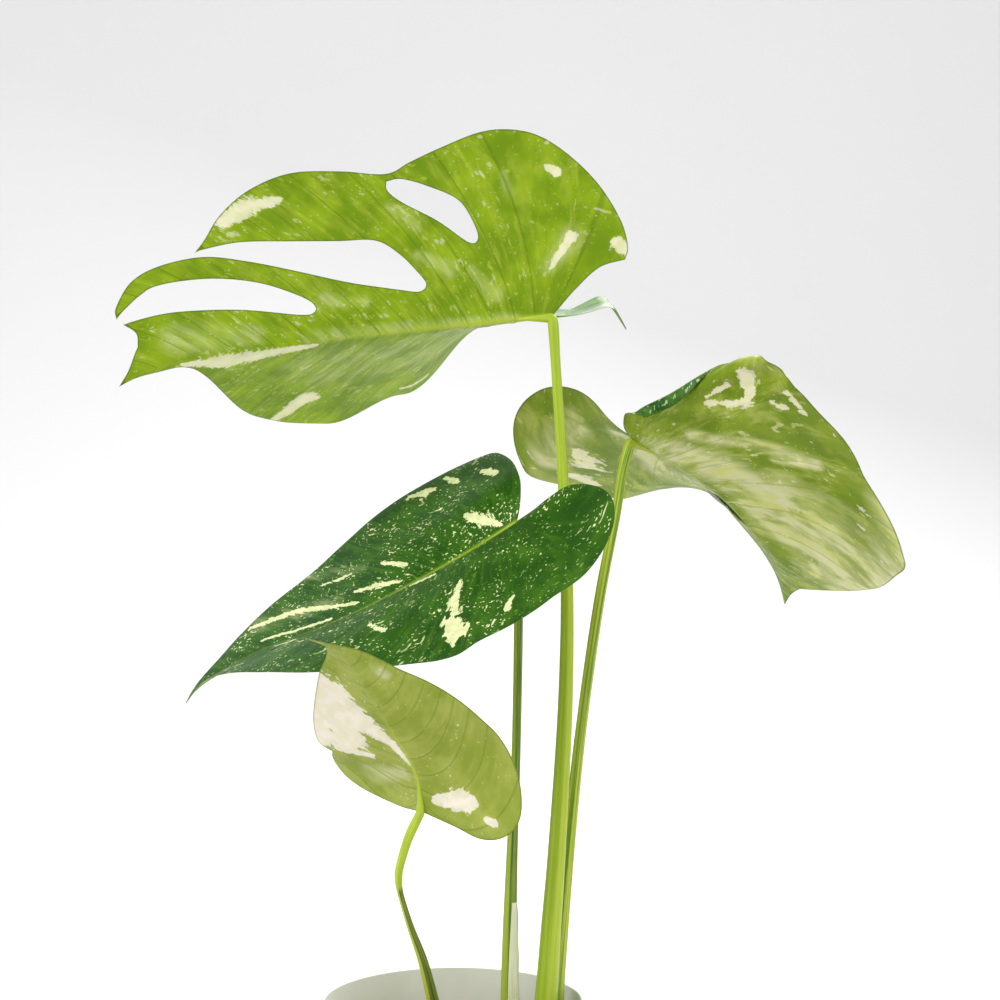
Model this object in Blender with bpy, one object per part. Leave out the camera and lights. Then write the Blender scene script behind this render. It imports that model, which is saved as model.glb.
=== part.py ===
"""A young variegated monstera growing in a round nursery pot.

Metres, +Z up. The origin is the middle of the pot's flat base, and the viewer stands at -Y. The plant is laid out
from its crown, a point on the surface of the potting mix in the middle of the buried stem, so that it follows the
pot when the pot's size changes.

A leaf blade is drawn flat first, in millimetres: "along" runs down the midrib from the leaf stalk, and "out" is the
distance from the midrib. The lobes beside the stalk have a negative "along". The flat sheet is then bent in space:
the midrib droops and sweeps, and each half rises from the midrib by its own angles.
"""

import math

import bmesh
import bpy
from mathutils import Vector
from mathutils.geometry import delaunay_2d_cdt

MM = 0.001

# Pot
POT_HEIGHT = 125 * MM
POT_RIM_DIAMETER = 140 * MM
POT_BASE_DIAMETER = 104 * MM
POT_WALL = 2.0 * MM
POT_FLOOR = 2.5 * MM
POT_RIM_BEAD = 0.9 * MM
POT_RIM_BEAD_HEIGHT = 5 * MM
DRAIN_HOLE_DIAMETER = 8 * MM
DRAIN_HOLE_CIRCLE = 66 * MM
DRAIN_HOLES = 6
DRAIN_HOLE_TURN = 4  # degrees
DRAIN_HOLE_SIDES = 12
POT_CORNER = 3 * MM
POT_SIDES = 48
CUT_OVERSHOOT = 5 * MM

# Potting mix
MIX_BELOW_RIM = 22 * MM
MIX_RELIEF = 1.2 * MM
MIX_CORNER = 6 * MM
MIX_SIDES = 36
SEAT_GAP = 0.3 * MM

# Stem, a short thick shoot that lies half buried
STEM_LENGTH = 84 * MM
DRAWN_STEM_LENGTH = 84 * MM  # the length for which the stalks' feet are drawn below
STEM_RADIUS = 12 * MM
STEM_AXIS_BELOW_MIX = 3 * MM
STEM_WALL_CLEARANCE = 3 * MM
STEM_END_RADIUS = 2.5 * MM
STEM_KNUCKLE_SWELL = 0.06
STEM_SIDES = 16
STEM_RINGS = 16

# Leaf stalks and blades
STALK_SIDES = 10
STALK_RING_SPACING = 14 * MM
STALK_TIP_SHARE = 0.8
STALK_LEAD_IN = 1.6
STALK_FOOT_FADE = 100  # millimetres above the crown, where a foot's shift along the stem has faded out
STALK_REACH = 40 * MM  # from the crown to the far side of the outermost stalk, where it passes the pot's rim
STALK_RIM_CLEARANCE = 8 * MM
BLADE_THICKNESS = 0.8 * MM
BLADE_GRID = 11.0  # millimetres
CREASE_WIDTH = 3.0  # millimetres

# Sheath at the foot of the dark leaf's stalk
SHEATH_HEIGHT = 76 * MM
SHEATH_THICKNESS = 0.7 * MM
SHEATH_WING = 3.5 * MM
SHEATH_TURNS = (-95, -70, -45, -20, 5, 25)  # degrees around the stalk, the wing's free edge first
SHEATH_TOP_SHARE = 0.35

MIX_TOP = POT_HEIGHT - MIX_BELOW_RIM


def pot_outer_radius(z):
    """Outside radius of the tapered pot wall at height z."""
    share = z / POT_HEIGHT
    return (POT_BASE_DIAMETER + (POT_RIM_DIAMETER - POT_BASE_DIAMETER) * share) / 2


def pot_inner_radius(z):
    return pot_outer_radius(z) - POT_WALL


# The crown lies as far right as both the stem's end and the outermost stalk allow.
CROWN_FOR_STEM = pot_inner_radius(MIX_TOP) - STEM_WALL_CLEARANCE - STEM_LENGTH / 2
CROWN_FOR_STALK = pot_inner_radius(POT_HEIGHT) - STALK_RIM_CLEARANCE - STALK_REACH
CROWN = Vector((min(CROWN_FOR_STEM, CROWN_FOR_STALK), 0, MIX_TOP))


# ---------------------------------------------------------------------------------------------------------------
# The four leaves. Stalk points are millimetres from the crown, with the stalk's radius at each; the first lies on
# the stem's axis. Angles are degrees.

LEAVES = {
    "top_leaf": {
        "stalk": [(26.5, 0, -3, 6.4), (27.2, -4, 10, 6.3), (29.3, -4, 24, 6), (32, 0, 60, 5.4), (35.2, 4, 100, 4.8),
                  (39.8, 9, 175, 4.0), (41, 13, 240, 3.4), (38.6, 15, 305, 2.9), (36, 15, 345, 2.7),
                  (34.4, 14.5, 370, 2.6), (33.7, 13.2, 380, 2.7)],
        "base": (33.4, 15, 386.2),
        "heading": 180, "pitch": -6, "roll": 44,
        "length": 236, "half_width": 116,
        "droop": [(-40, 0), (0, 0), (60, 1), (120, 4), (190, 5), (215, 14), (236, 40)],
        "sweep": [(-40, 0), (0, 0), (120, 2), (200, 0), (236, -8)],
        "rise_left": [(-40, 24, 20, 14), (0, 26, 22, 14), (110, 26, 22, 14), (180, 26, 22, 18), (236, 26, 22, 18)],
        "rise_right": [(-40, 72, 60, 22), (0, 62, 50, 44), (35, 50, 50, 48), (85, 31, 30, 29), (130, 24, 22, 14),
                       (236, 20, 16, 10)],
        # Split margin: broad first lobe, second lobe, thin third lobe, then the lobe that carries the tip.
        "left": [
            [(0, 0), (-13, 13), (-27, 24), (-41, 27)],
            [(-41, 27), (-43, 34), (-40, 49), (-30, 69), (-16, 86), (-1, 98), (14, 103), (30, 103), (51, 97),
             (68, 91), (81, 86), (104, 90), (129, 92), (150, 86), (166, 75), (176, 63), (182, 57)],
            [(182, 57), (177, 58), (159, 59), (134, 56), (109, 53), (90, 51), (78, 42), (68, 29), (66, 24),
             (70, 21), (80, 23), (106, 30), (131, 39), (156, 48), (178, 54), (200, 53), (213, 48), (221, 38),
             (222.5, 32)],
            [(222.5, 32), (219, 35), (211, 40), (202, 43), (177, 42), (153, 36), (133, 26), (126, 20), (127, 16),
             (135, 16), (165, 23), (196, 27), (221, 28)],
            [(221, 28), (217.5, 21), (219, 14)],
            [(219, 14), (227, 5), (236, 0)],
        ],
        "right": [
            [(0, 0), (-14, 6), (-28, 17), (-38, 37), (-40, 62), (-31, 86), (-12, 99), (15, 105), (50, 108),
             (85, 108), (115, 104), (145, 95), (163, 83), (177, 64), (190, 20), (199, 6), (215, 4), (236, 0)],
        ],
        "hole": [(81, 82), (73, 82.5), (59, 77), (44, 68), (37, 54), (36, 46), (41, 45), (56, 58), (74, 70),
                 (81, 77)],
    },
    "right_leaf": {
        "stalk": [(34.5, 0, -3, 4.6), (34.6, 7.5, 9, 4.6), (35, 12, 22, 4.5), (37, 15, 45, 4.1), (42.5, 17, 105, 3.4),
                  (49, 18.5, 165, 3.0), (58.5, 20, 231, 2.9), (67.5, 21, 278, 2.7), (71, 21, 300, 2.5),
                  (74.2, 21.5, 313, 2.6)],
        "base": (77, 22, 320.3),
        "heading": 31, "pitch": -26, "roll": 32,
        "length": 184, "half_width": 98,
        "droop": [(-35, 30), (0, 0), (37, -3), (83, 13), (129, 26), (184, 34)],
        "sweep": [(-35, 0), (0, 0), (37, -15), (83, -21), (129, 36), (184, 22)],
        "rise_left": [(-35, 4, -35, -49), (0, -22, -50, -50), (37, -24, -34, -41), (83, 0, -7, -14),
                      (129, -8, -11, -10), (184, 10, -5, -9)],
        "rise_right": [(-35, 67, 75, 66), (0, 60, 60, 44), (37, 52, 54, 46), (83, 50, 49, 36), (129, 46, 50, 48),
                       (184, 58, 54, 52)],
        "left": [
            [(0, 0), (-15, 4), (-24, 14), (-27, 37), (-25, 62), (-15, 88), (6, 105), (28, 109), (50, 105),
             (75, 93), (100, 76), (125, 53), (146, 28), (163, 8), (184, 0)],
        ],
        "right": [
            [(0, 0), (-12, 8), (-20, 20), (-18, 38), (-19, 58), (-21, 72), (-17, 87), (-12, 97), (0, 105), (17, 108),
             (36, 108), (52, 104), (69, 100), (90, 90), (107, 79)],
            [(107, 79), (112, 76), (117, 67), (129, 54), (142, 41), (151, 24), (155, 12)],
            [(155, 12), (166, 6), (184, 0)],
        ],
    },
    "dark_leaf": {
        "stalk": [(9, 0, -3, 5.0), (9.4, -3, 10, 4.9), (9.8, -4, 24, 4.6), (10.2, -4, 60, 3.8), (11.4, -4, 100, 3.0),
                  (13.5, -3.5, 152, 2.4), (14.8, -4, 222, 2.4), (14.4, -5, 258, 2.4), (13.6, -7, 268, 2.5)],
        "base": (13.9, -6, 275.6),
        "heading": 174, "pitch": -33, "roll": -26,
        "length": 214, "half_width": 90,
        "droop": [(-40, 34), (0, 0), (64, -6), (139, -9), (185, 5), (214, 30)],
        "sweep": [(-40, 11), (0, 0), (64, 2), (139, -10), (214, -19)],
        "rise_left": [(-40, -10, -19, -6), (0, 4, -8, -3), (64, 7, -5, -7), (139, 23, 7, 10), (214, 40, 29, 20)],
        "rise_right": [(-40, 18, 2, 1), (0, 27, -3, 1), (64, 10, 4, 9), (139, 0, 5, 8), (214, 4, 0, 4)],
        "left": [
            [(0, 0), (-9, 0.5), (-20, 3), (-31, 14), (-37, 32), (-38, 50), (-32, 64), (-20, 77), (-10, 85),
             (6, 89), (24, 90), (42, 89), (54, 91), (64, 88), (81, 79), (109, 69), (124, 62), (142, 49),
             (162, 33), (181, 18), (194, 8), (214, 0)],
        ],
        "right": [
            [(0, 0), (-9, 16), (-16, 33), (-18, 58), (-9, 78), (4, 89), (23, 94), (47, 92), (68, 87), (91, 80),
             (115, 71), (148, 50), (173, 28), (194, 9), (214, 0)],
        ],
    },
    "small_leaf": {
        "stalk": [(-26, 0, -3, 3.8), (-27.5, -5, 10, 3.6), (-30, -13, 25, 3.2), (-35, -21, 48, 2.6),
                  (-41, -28, 67, 1.9), (-45.5, -35, 84.5, 1.6), (-46.5, -39, 93, 2.0), (-45.7, -42.5, 101, 2.2),
                  (-41.2, -48.5, 116, 2.3), (-36.2, -51.5, 127, 2.2)],
        "base": (-33.3, -52, 130),
        "heading": -102, "pitch": 70, "roll": -33,
        "length": 124, "half_width": 58,
        "droop": [(-15, -4), (0, 0), (43, 23), (87, 22), (124, 59)],
        "sweep": [(-15, 8), (0, 0), (43, -8), (87, -8), (124, -25)],
        "rise_left": [(-15, 12, 10, 16), (0, 15, 9, 22), (43, 29, 30, 19), (87, 25, 36, 32), (124, 31, 33, 32)],
        "rise_right": [(-15, 5, 0, -2), (0, 3, -3, -6), (43, -9, -18, -6), (87, -1, -18, -14), (124, 13, -2, -8)],
        "left": [
            [(0, 0), (-3, 18), (-5, 34), (-2, 48), (6, 56), (16, 58), (30, 56), (45, 51), (60, 44), (75, 34),
             (88, 23), (101, 13), (112, 5), (124, 0)],
        ],
        "right": [
            [(0, 0), (-3, 18), (-2, 38), (3, 55), (12, 60), (24, 57), (33, 52)],
            [(33, 52), (41, 57), (52, 53), (66, 44), (87, 28), (101, 15), (112, 5), (124, 0)],
        ],
    },
}


# ---------------------------------------------------------------------------------------------------------------
# Shared helpers

def clear_scene():
    for item in list(bpy.data.objects):
        bpy.data.objects.remove(item, do_unlink=True)


def material(name, colour, roughness, subsurface=0.0):
    made = bpy.data.materials.new(name)
    made.use_nodes = True
    shader = made.node_tree.nodes["Principled BSDF"]
    shader.inputs["Base Color"].default_value = (*colour, 1)
    shader.inputs["Roughness"].default_value = roughness
    shader.inputs["Metallic"].default_value = 0.0
    shader.inputs["Subsurface Weight"].default_value = subsurface
    return made


def mesh_object(name, verts, faces, finish, origin=(0, 0, 0)):
    """A smooth-shaded object whose own origin is at the given place."""
    origin = Vector(origin)
    mesh = bpy.data.meshes.new(name)
    mesh.from_pydata([tuple(Vector(v) - origin) for v in verts], [], faces)
    mesh.validate()
    mesh.shade_smooth()
    mesh.set_sharp_from_angle(angle=math.radians(40))
    mesh.materials.append(finish)
    made = bpy.data.objects.new(name, mesh)
    made.location = origin
    bpy.context.scene.collection.objects.link(made)
    return made


def smooth_curve(points, steps):
    """Points along a Catmull-Rom curve through the given points, with the given number of steps between each two."""
    ends = [tuple(2 * a - b for a, b in zip(points[0], points[1]))]
    tail = [tuple(2 * a - b for a, b in zip(points[-1], points[-2]))]
    knots = ends + list(points) + tail
    curve = []
    for k in range(1, len(knots) - 2):
        for step in range(steps):
            t = step / steps
            curve.append(tuple(
                0.5 * (2 * q + (r - p) * t + (2 * p - 5 * q + 4 * r - s) * t * t + (3 * q - p - 3 * r + s) * t ** 3)
                for p, q, r, s in zip(knots[k - 1], knots[k], knots[k + 1], knots[k + 2])))
    curve.append(tuple(points[-1]))
    return curve


def evenly(points, spacing):
    """The same curve with points about one spacing apart, its two ends kept."""
    lengths = [0.0]
    for a, b in zip(points, points[1:]):
        lengths.append(lengths[-1] + math.dist(a[:3], b[:3]))
    count = max(2, round(lengths[-1] / spacing))
    placed = []
    k = 0
    for i in range(count + 1):
        target = lengths[-1] * i / count
        while k < len(lengths) - 2 and lengths[k + 1] < target:
            k += 1
        share = (target - lengths[k]) / (lengths[k + 1] - lengths[k])
        placed.append(tuple(a + (b - a) * share for a, b in zip(points[k], points[k + 1])))
    return placed


def eased(stations, x):
    """The values at x between (place, value, ...) stations, with smooth steps and flat ends."""
    if x <= stations[0][0]:
        return stations[0][1:]
    for low, high in zip(stations, stations[1:]):
        if x <= high[0]:
            t = (x - low[0]) / (high[0] - low[0])
            t = t * t * (3 - 2 * t)
            return tuple(a + (b - a) * t for a, b in zip(low[1:], high[1:]))
    return stations[-1][1:]


def cut_with(target, cutter):
    cutter.hide_render = True
    cutter.display_type = "WIRE"
    boolean = target.modifiers.new("cut_" + cutter.name, "BOOLEAN")
    boolean.operation = "DIFFERENCE"
    boolean.solver = "EXACT"
    boolean.object = cutter


def ring_frames(path):
    """A frame that doesn't twist at each point of a path: the point, and two directions across it."""
    frames = []
    side = None
    for k, point in enumerate(path):
        before = path[max(k - 1, 0)]
        after = path[min(k + 1, len(path) - 1)]
        heading = (Vector(after[:3]) - Vector(before[:3])).normalized()
        if side is None:
            side = Vector((1, 0, 0)) if abs(heading.x) < 0.9 else Vector((0, 1, 0))
        side = (side - heading * side.dot(heading)).normalized()
        frames.append((Vector(point[:3]), side.copy(), heading.cross(side)))
    return frames


def tube_mesh(path, radii, sides):
    """Vertices and faces of a closed tube with flat ends."""
    verts = []
    for (centre, across, up), radius in zip(ring_frames(path), radii):
        for k in range(sides):
            turn = math.tau * k / sides
            verts.append(centre + (across * math.cos(turn) + up * math.sin(turn)) * radius)
    faces = []
    for ring in range(len(path) - 1):
        for k in range(sides):
            a = ring * sides + k
            b = ring * sides + (k + 1) % sides
            faces.append((a, b, b + sides, a + sides))
    faces.append(tuple(reversed(range(sides))))
    last = (len(path) - 1) * sides
    faces.append(tuple(range(last, last + sides)))
    return verts, faces


# ---------------------------------------------------------------------------------------------------------------
# Pot, potting mix and stem

def lathe(name, profile, sides, finish):
    """A solid turned about +Z from (radius, height) points that start and end on the axis."""
    verts = [(0, 0, profile[0][1])]
    rings = profile[1:-1]
    for radius, height in rings:
        for k in range(sides):
            turn = math.tau * k / sides
            verts.append((radius * math.cos(turn), radius * math.sin(turn), height))
    verts.append((0, 0, profile[-1][1]))
    last = len(verts) - 1
    faces = []
    for k in range(sides):
        nxt = (k + 1) % sides
        faces.append((0, 1 + nxt, 1 + k))
        for ring in range(len(rings) - 1):
            low = 1 + ring * sides
            high = low + sides
            faces.append((low + k, low + nxt, high + nxt, high + k))
        top = 1 + (len(rings) - 1) * sides
        faces.append((last, top + k, top + nxt))
    return mesh_object(name, verts, faces, finish)


def make_pot():
    finish = material("pot_plastic", (0.78, 0.79, 0.76), 0.35)
    rim = POT_HEIGHT
    bead_low = rim - POT_RIM_BEAD_HEIGHT
    outer = [(POT_BASE_DIAMETER / 2 - POT_CORNER, 0), (POT_BASE_DIAMETER / 2 - POT_CORNER / 3, POT_CORNER / 3)]
    outer.append((pot_outer_radius(POT_CORNER), POT_CORNER))
    outer.append((pot_outer_radius(bead_low - POT_RIM_BEAD), bead_low - POT_RIM_BEAD))
    outer.append((pot_outer_radius(bead_low) + POT_RIM_BEAD, bead_low))
    outer.append((pot_outer_radius(rim) + POT_RIM_BEAD, rim - POT_RIM_BEAD))
    crest = [(pot_outer_radius(rim), rim), (pot_inner_radius(rim) + POT_RIM_BEAD / 2, rim)]
    inner = [(pot_inner_radius(rim), rim - POT_RIM_BEAD)]
    inner.append((pot_inner_radius(POT_CORNER * 2), POT_CORNER * 2))
    inner.append((pot_inner_radius(POT_FLOOR) - POT_CORNER, POT_FLOOR))
    pot = lathe("pot", [(0, 0)] + outer + crest + inner + [(0, POT_FLOOR)], POT_SIDES, finish)
    for k in range(DRAIN_HOLES):
        turn = math.tau * k / DRAIN_HOLES + math.radians(DRAIN_HOLE_TURN)
        centre = Vector((math.cos(turn), math.sin(turn), 0)) * DRAIN_HOLE_CIRCLE / 2
        path = [(centre.x, centre.y, -CUT_OVERSHOOT), (centre.x, centre.y, POT_FLOOR + CUT_OVERSHOOT)]
        verts, faces = tube_mesh(path, [DRAIN_HOLE_DIAMETER / 2] * 2, DRAIN_HOLE_SIDES)
        cut_with(pot, mesh_object("drain_cutter_%d" % k, verts, faces, finish))


def make_potting_mix(stem_cutter):
    """Soil that fills the pot up to MIX_TOP, with a slightly uneven surface and a trough where the stem lies."""
    finish = material("potting_mix", (0.09, 0.06, 0.04), 0.95)
    floor = POT_FLOOR + SEAT_GAP
    side_gap = SEAT_GAP * 1.5
    profile = [(0, floor), (pot_inner_radius(floor) - MIX_CORNER - side_gap, floor)]
    profile.append((pot_inner_radius(floor + MIX_CORNER) - side_gap, floor + MIX_CORNER))
    edge = pot_inner_radius(MIX_TOP) - side_gap
    profile.append((edge, MIX_TOP - MIX_RELIEF))
    for share in (0.85, 0.65, 0.45, 0.22):
        profile.append((edge * share, MIX_TOP))
    profile.append((0, MIX_TOP))
    mix = lathe("potting_mix", profile, MIX_SIDES, finish)
    for vertex in mix.data.vertices:
        if vertex.co.z >= MIX_TOP - MIX_RELIEF / 2:
            wave = math.sin(vertex.co.x / (5 * MM) + 1.3) * math.cos(vertex.co.y / (4 * MM) - 0.4)
            vertex.co.z += MIX_RELIEF / 2 * wave
    cut_with(mix, stem_cutter)


def stem_path(grow):
    """Rings along the stem, with its swollen nodes and rounded ends, made thicker all over by grow."""
    rings = []
    for k in range(STEM_RINGS + 1):
        share = -1 + 2 * k / STEM_RINGS
        round_off = math.sqrt(max(0.0, 1 - abs(share) ** 5))
        knuckle = 1 + STEM_KNUCKLE_SWELL * math.cos(share * 4 * math.pi)
        radius = max(STEM_RADIUS * round_off * knuckle, STEM_END_RADIUS) + grow
        x = CROWN.x + share * (STEM_LENGTH / 2 + grow)
        rings.append(((x, 0, MIX_TOP - STEM_AXIS_BELOW_MIX), radius))
    return [ring[0] for ring in rings], [ring[1] for ring in rings]


def make_stem(name, finish, grow=0.0):
    path, radii = stem_path(grow)
    verts, faces = tube_mesh(path, radii, STEM_SIDES)
    return mesh_object(name, verts, faces, finish, CROWN)


# ---------------------------------------------------------------------------------------------------------------
# Leaf stalks

def stalk_points(leaf):
    """The stalk's centre line in metres, as (x, y, z, radius), from the stem's axis to just under the blade."""
    foot_shift = leaf["stalk"][0][0] * (STEM_LENGTH / DRAWN_STEM_LENGTH - 1)
    points = []
    for x, y, z, radius in leaf["stalk"]:
        fade = max(0.0, 1 - max(z, 0) / STALK_FOOT_FADE)
        place = CROWN + Vector((x + foot_shift * fade, y, z)) * MM
        points.append((*place, radius * MM))
    blade = Blade(leaf)
    touch = blade.base - blade.normal * (BLADE_THICKNESS / 2 + SEAT_GAP)
    tip_radius = points[-1][3]
    lead = touch - blade.normal * tip_radius * STALK_LEAD_IN
    points = points[:-1] + [(*lead, tip_radius), (*touch, tip_radius * STALK_TIP_SHARE)]
    return evenly(smooth_curve(points, 8), STALK_RING_SPACING / 2)


def thin_out(points):
    """Fewer rings where the stalk runs nearly straight, all of them where it bends."""
    kept = [points[0]]
    for k in range(1, len(points) - 1):
        here = Vector(points[k][:3])
        bend = (here - Vector(kept[-1][:3])).angle(Vector(points[k + 1][:3]) - here)
        if bend > math.radians(4) or (here - Vector(kept[-1][:3])).length > STALK_RING_SPACING:
            kept.append(points[k])
    kept.append(points[-1])
    return kept


def make_stalk(name, leaf, finish, cutters):
    points = thin_out(stalk_points(leaf))
    verts, faces = tube_mesh([p[:3] for p in points], [p[3] for p in points], STALK_SIDES)
    stalk = mesh_object(name + "_petiole", verts, faces, finish, points[0][:3])
    for cutter in cutters:
        cut_with(stalk, cutter)


def make_sheath(leaf, finish, stem_cutter):
    """A thin wing that wraps the right side of the stalk's foot and stands away from it along one edge."""
    points = [p for p in stalk_points(leaf) if p[2] < MIX_TOP + SHEATH_HEIGHT]
    turns = [math.radians(a) for a in SHEATH_TURNS]
    verts = []
    for k, ((centre, across, up), point) in enumerate(zip(ring_frames([p[:3] for p in points]), points)):
        narrowing = 1 - (k / (len(points) - 1)) ** 3
        inner = point[3] + SEAT_GAP * 1.5
        ring = []
        for i, turn in enumerate(turns):
            turn = turns[1] + (turn - turns[1]) * (SHEATH_TOP_SHARE + (1 - SHEATH_TOP_SHARE) * narrowing)
            wing = SHEATH_WING * narrowing if i == 0 else 0.0
            ring.append((turn, inner + wing))
        outside = [(turn, radius + SHEATH_THICKNESS) for turn, radius in reversed(ring)]
        for turn, radius in ring + outside:
            verts.append(centre + (across * math.cos(turn) + up * math.sin(turn)) * radius)
    size = len(turns) * 2
    faces = []
    for ring in range(len(points) - 1):
        for k in range(size):
            a = ring * size + k
            b = ring * size + (k + 1) % size
            faces.append((a, a + size, b + size, b))
    for k in range(len(turns) - 1):
        faces.append((k, k + 1, size - 2 - k, size - 1 - k))
        last = (len(points) - 1) * size
        faces.append((last + k, last + size - 1 - k, last + size - 2 - k, last + k + 1))
    sheath = mesh_object("dark_leaf_sheath", verts, faces, finish, points[0][:3])
    cut_with(sheath, stem_cutter)


# ---------------------------------------------------------------------------------------------------------------
# Leaf blades

class Blade:
    """A flat leaf bent in space. Flat places are millimetres; places in space are metres."""

    def __init__(self, leaf):
        self.leaf = leaf
        self.length = leaf["length"]
        self.base = CROWN + Vector(leaf["base"]) * MM
        heading, pitch, roll = (math.radians(leaf[key]) for key in ("heading", "pitch", "roll"))
        self.forward = Vector((math.cos(heading) * math.cos(pitch), math.sin(heading) * math.cos(pitch),
                               math.sin(pitch)))
        level = Vector((-math.sin(pitch) * math.cos(heading), -math.sin(pitch) * math.sin(heading),
                        math.cos(pitch)))
        across = level.cross(self.forward)
        self.left = across * math.cos(roll) + level * math.sin(roll)
        self.normal = level * math.cos(roll) - across * math.sin(roll)
        self.spine = self.trace_midrib()

    def frame(self, along):
        """Directions at a place on the midrib: to the tip, to the left margin, and out of the upper side."""
        droop = math.radians(eased(self.leaf["droop"], along)[0])
        sweep = math.radians(eased(self.leaf["sweep"], along)[0])
        down = self.forward * math.cos(droop) - self.normal * math.sin(droop)
        out = self.forward * math.sin(droop) + self.normal * math.cos(droop)
        ahead = down * math.cos(sweep) + self.left * math.sin(sweep)
        left = self.left * math.cos(sweep) - down * math.sin(sweep)
        return ahead, left, out

    def trace_midrib(self):
        """Midrib points one millimetre apart, from behind the stalk to past the tip."""
        self.first = -60
        ahead = [Vector((0, 0, 0))]
        for along in range(self.first, self.length + 10):
            step = self.frame(along + 0.5)[0] * MM
            ahead.append(ahead[-1] + step)
        shift = self.base - ahead[-self.first]
        return [point + shift for point in ahead]

    def midrib(self, along):
        place = along - self.first
        k = min(int(place), len(self.spine) - 2)
        return self.spine[k].lerp(self.spine[k + 1], place - k)

    def place(self, along, out):
        """The point in space of a flat point; out is positive on the left half and negative on the right."""
        ahead, left, normal = self.frame(along)
        side = 1 if out >= 0 else -1
        near, middle, far = eased(self.leaf["rise_left" if side > 0 else "rise_right"], along)
        steps = max(1, round(abs(out) / 4))
        stride = abs(out) / steps
        point = self.midrib(along)
        for k in range(steps):
            walked = stride * (k + 0.5)
            share = walked / self.leaf["half_width"] * 2
            rise = near + (middle - near) * share if share < 1 else middle + (far - middle) * (share - 1)
            angle = math.radians(rise * (1 - math.exp(-walked / CREASE_WIDTH)))
            point = point + (left * side * math.cos(angle) + normal * math.sin(angle)) * stride * MM
        return point


def margin(leaf, spacing):
    """The leaf's flat outline: up the left side to the tip and back down the right side, as (along, out)."""
    outline = []
    for run in leaf["left"]:
        outline += evenly(smooth_curve(run, 6), spacing)[:-1]
    back = []
    for run in leaf["right"]:
        back += evenly(smooth_curve([(along, -out) for along, out in run], 6), spacing)[:-1]
    tip = (leaf["length"], 0)
    return outline + [tip] + list(reversed(back[1:]))


def hole_outline(leaf, spacing):
    points = leaf.get("hole")
    if not points:
        return []
    closed = points + points[:1]
    return evenly(smooth_curve(closed, 6), spacing)[:-1]


def inside(point, outline):
    """Whether a flat point lies inside a closed outline."""
    x, y = point
    odd = False
    for (ax, ay), (bx, by) in zip(outline, outline[1:] + outline[:1]):
        if (ay > y) != (by > y) and x < ax + (y - ay) * (bx - ax) / (by - ay):
            odd = not odd
    return odd


def distance_to(point, outline):
    best = float("inf")
    here = Vector(point)
    for a, b in zip(outline, outline[1:] + outline[:1]):
        start = Vector(a)
        run = Vector(b) - start
        share = max(0.0, min(1.0, (here - start).dot(run) / max(run.length_squared, 1e-9)))
        best = min(best, (start + run * share - here).length)
    return best


def flat_sheet(leaf, grid):
    """Flat points and triangles that fill the outline, with a row of points along the midrib."""
    outline = margin(leaf, grid * 0.8)
    hole = hole_outline(leaf, grid * 0.8)
    points = [Vector(p) for p in outline + hole]
    edges = [(k, (k + 1) % len(outline)) for k in range(len(outline))]
    edges += [(len(outline) + k, len(outline) + (k + 1) % len(hole)) for k in range(len(hole))]

    def clear(point, room):
        if not inside(point, outline) or distance_to(point, outline) < room:
            return False
        return not hole or (not inside(point, hole) and distance_to(point, hole) > room)

    midrib = [(along, 0.0) for along in range(round(grid), leaf["length"], round(grid))]
    for place in midrib:
        if clear(place, grid * 0.25):
            points.append(Vector(place))
    rows = round(leaf["half_width"] * 1.4 / (grid * 0.87))
    for row in range(-rows, rows + 1):
        if row == 0:
            continue
        out = row * grid * 0.87
        shift = grid / 2 if row % 2 else 0.0
        for k in range(-8, int(leaf["length"] / grid) + 2):
            place = (k * grid + shift, out)
            if clear(place, grid * 0.45):
                points.append(Vector(place))
    flat, _, triangles, *_ = delaunay_2d_cdt(points, edges, [], 0, 1e-4)
    kept = []
    for triangle in triangles:
        centre = sum((flat[k] for k in triangle), Vector((0, 0))) / 3
        if inside(centre, outline) and not (hole and inside(centre, hole)):
            kept.append(tuple(triangle))
    return flat, kept


def make_blade(name, leaf, finish, grow=0.0):
    """A leaf blade as a thin closed solid: the bent sheet, thickened by half on each side, and by grow all round."""
    blade = Blade(leaf)
    flat, triangles = flat_sheet(leaf, BLADE_GRID)
    sheet = bmesh.new()
    verts = [sheet.verts.new(blade.place(p.x, p.y)) for p in flat]
    for triangle in triangles:
        sheet.faces.new([verts[k] for k in triangle])
    loose = [v for v in sheet.verts if not v.link_faces]
    bmesh.ops.delete(sheet, geom=loose, context="VERTS")
    sheet.normal_update()
    upward = sum(face.normal.dot(blade.normal) * face.calc_area() for face in sheet.faces)
    if upward < 0:
        bmesh.ops.reverse_faces(sheet, faces=sheet.faces)
        sheet.normal_update()
    sheet.verts.index_update()
    outward = {}
    rim = []
    for edge in sheet.edges:
        if edge.is_boundary:
            loop = edge.link_loops[0]
            a = loop.vert
            b = loop.link_loop_next.vert
            rim.append((a.index, b.index))
            away = (b.co - a.co).cross(edge.link_faces[0].normal).normalized()
            for vert in (a, b):
                outward[vert.index] = outward.get(vert.index, Vector()) + away
    half = BLADE_THICKNESS / 2 + grow
    middle = [v.co + outward.get(v.index, Vector()).normalized() * grow for v in sheet.verts]
    top = [co + v.normal * half for co, v in zip(middle, sheet.verts)]
    bottom = [co - v.normal * half for co, v in zip(middle, sheet.verts)]
    count = len(top)
    faces = []
    for face in sheet.faces:
        corners = [v.index for v in face.verts]
        faces.append(tuple(corners))
        faces.append(tuple(k + count for k in reversed(corners)))
    for a, b in rim:
        faces.append((b, a, a + count, b + count))
    sheet.free()
    return mesh_object(name, top + bottom, faces, finish, blade.base)


# ---------------------------------------------------------------------------------------------------------------

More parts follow.
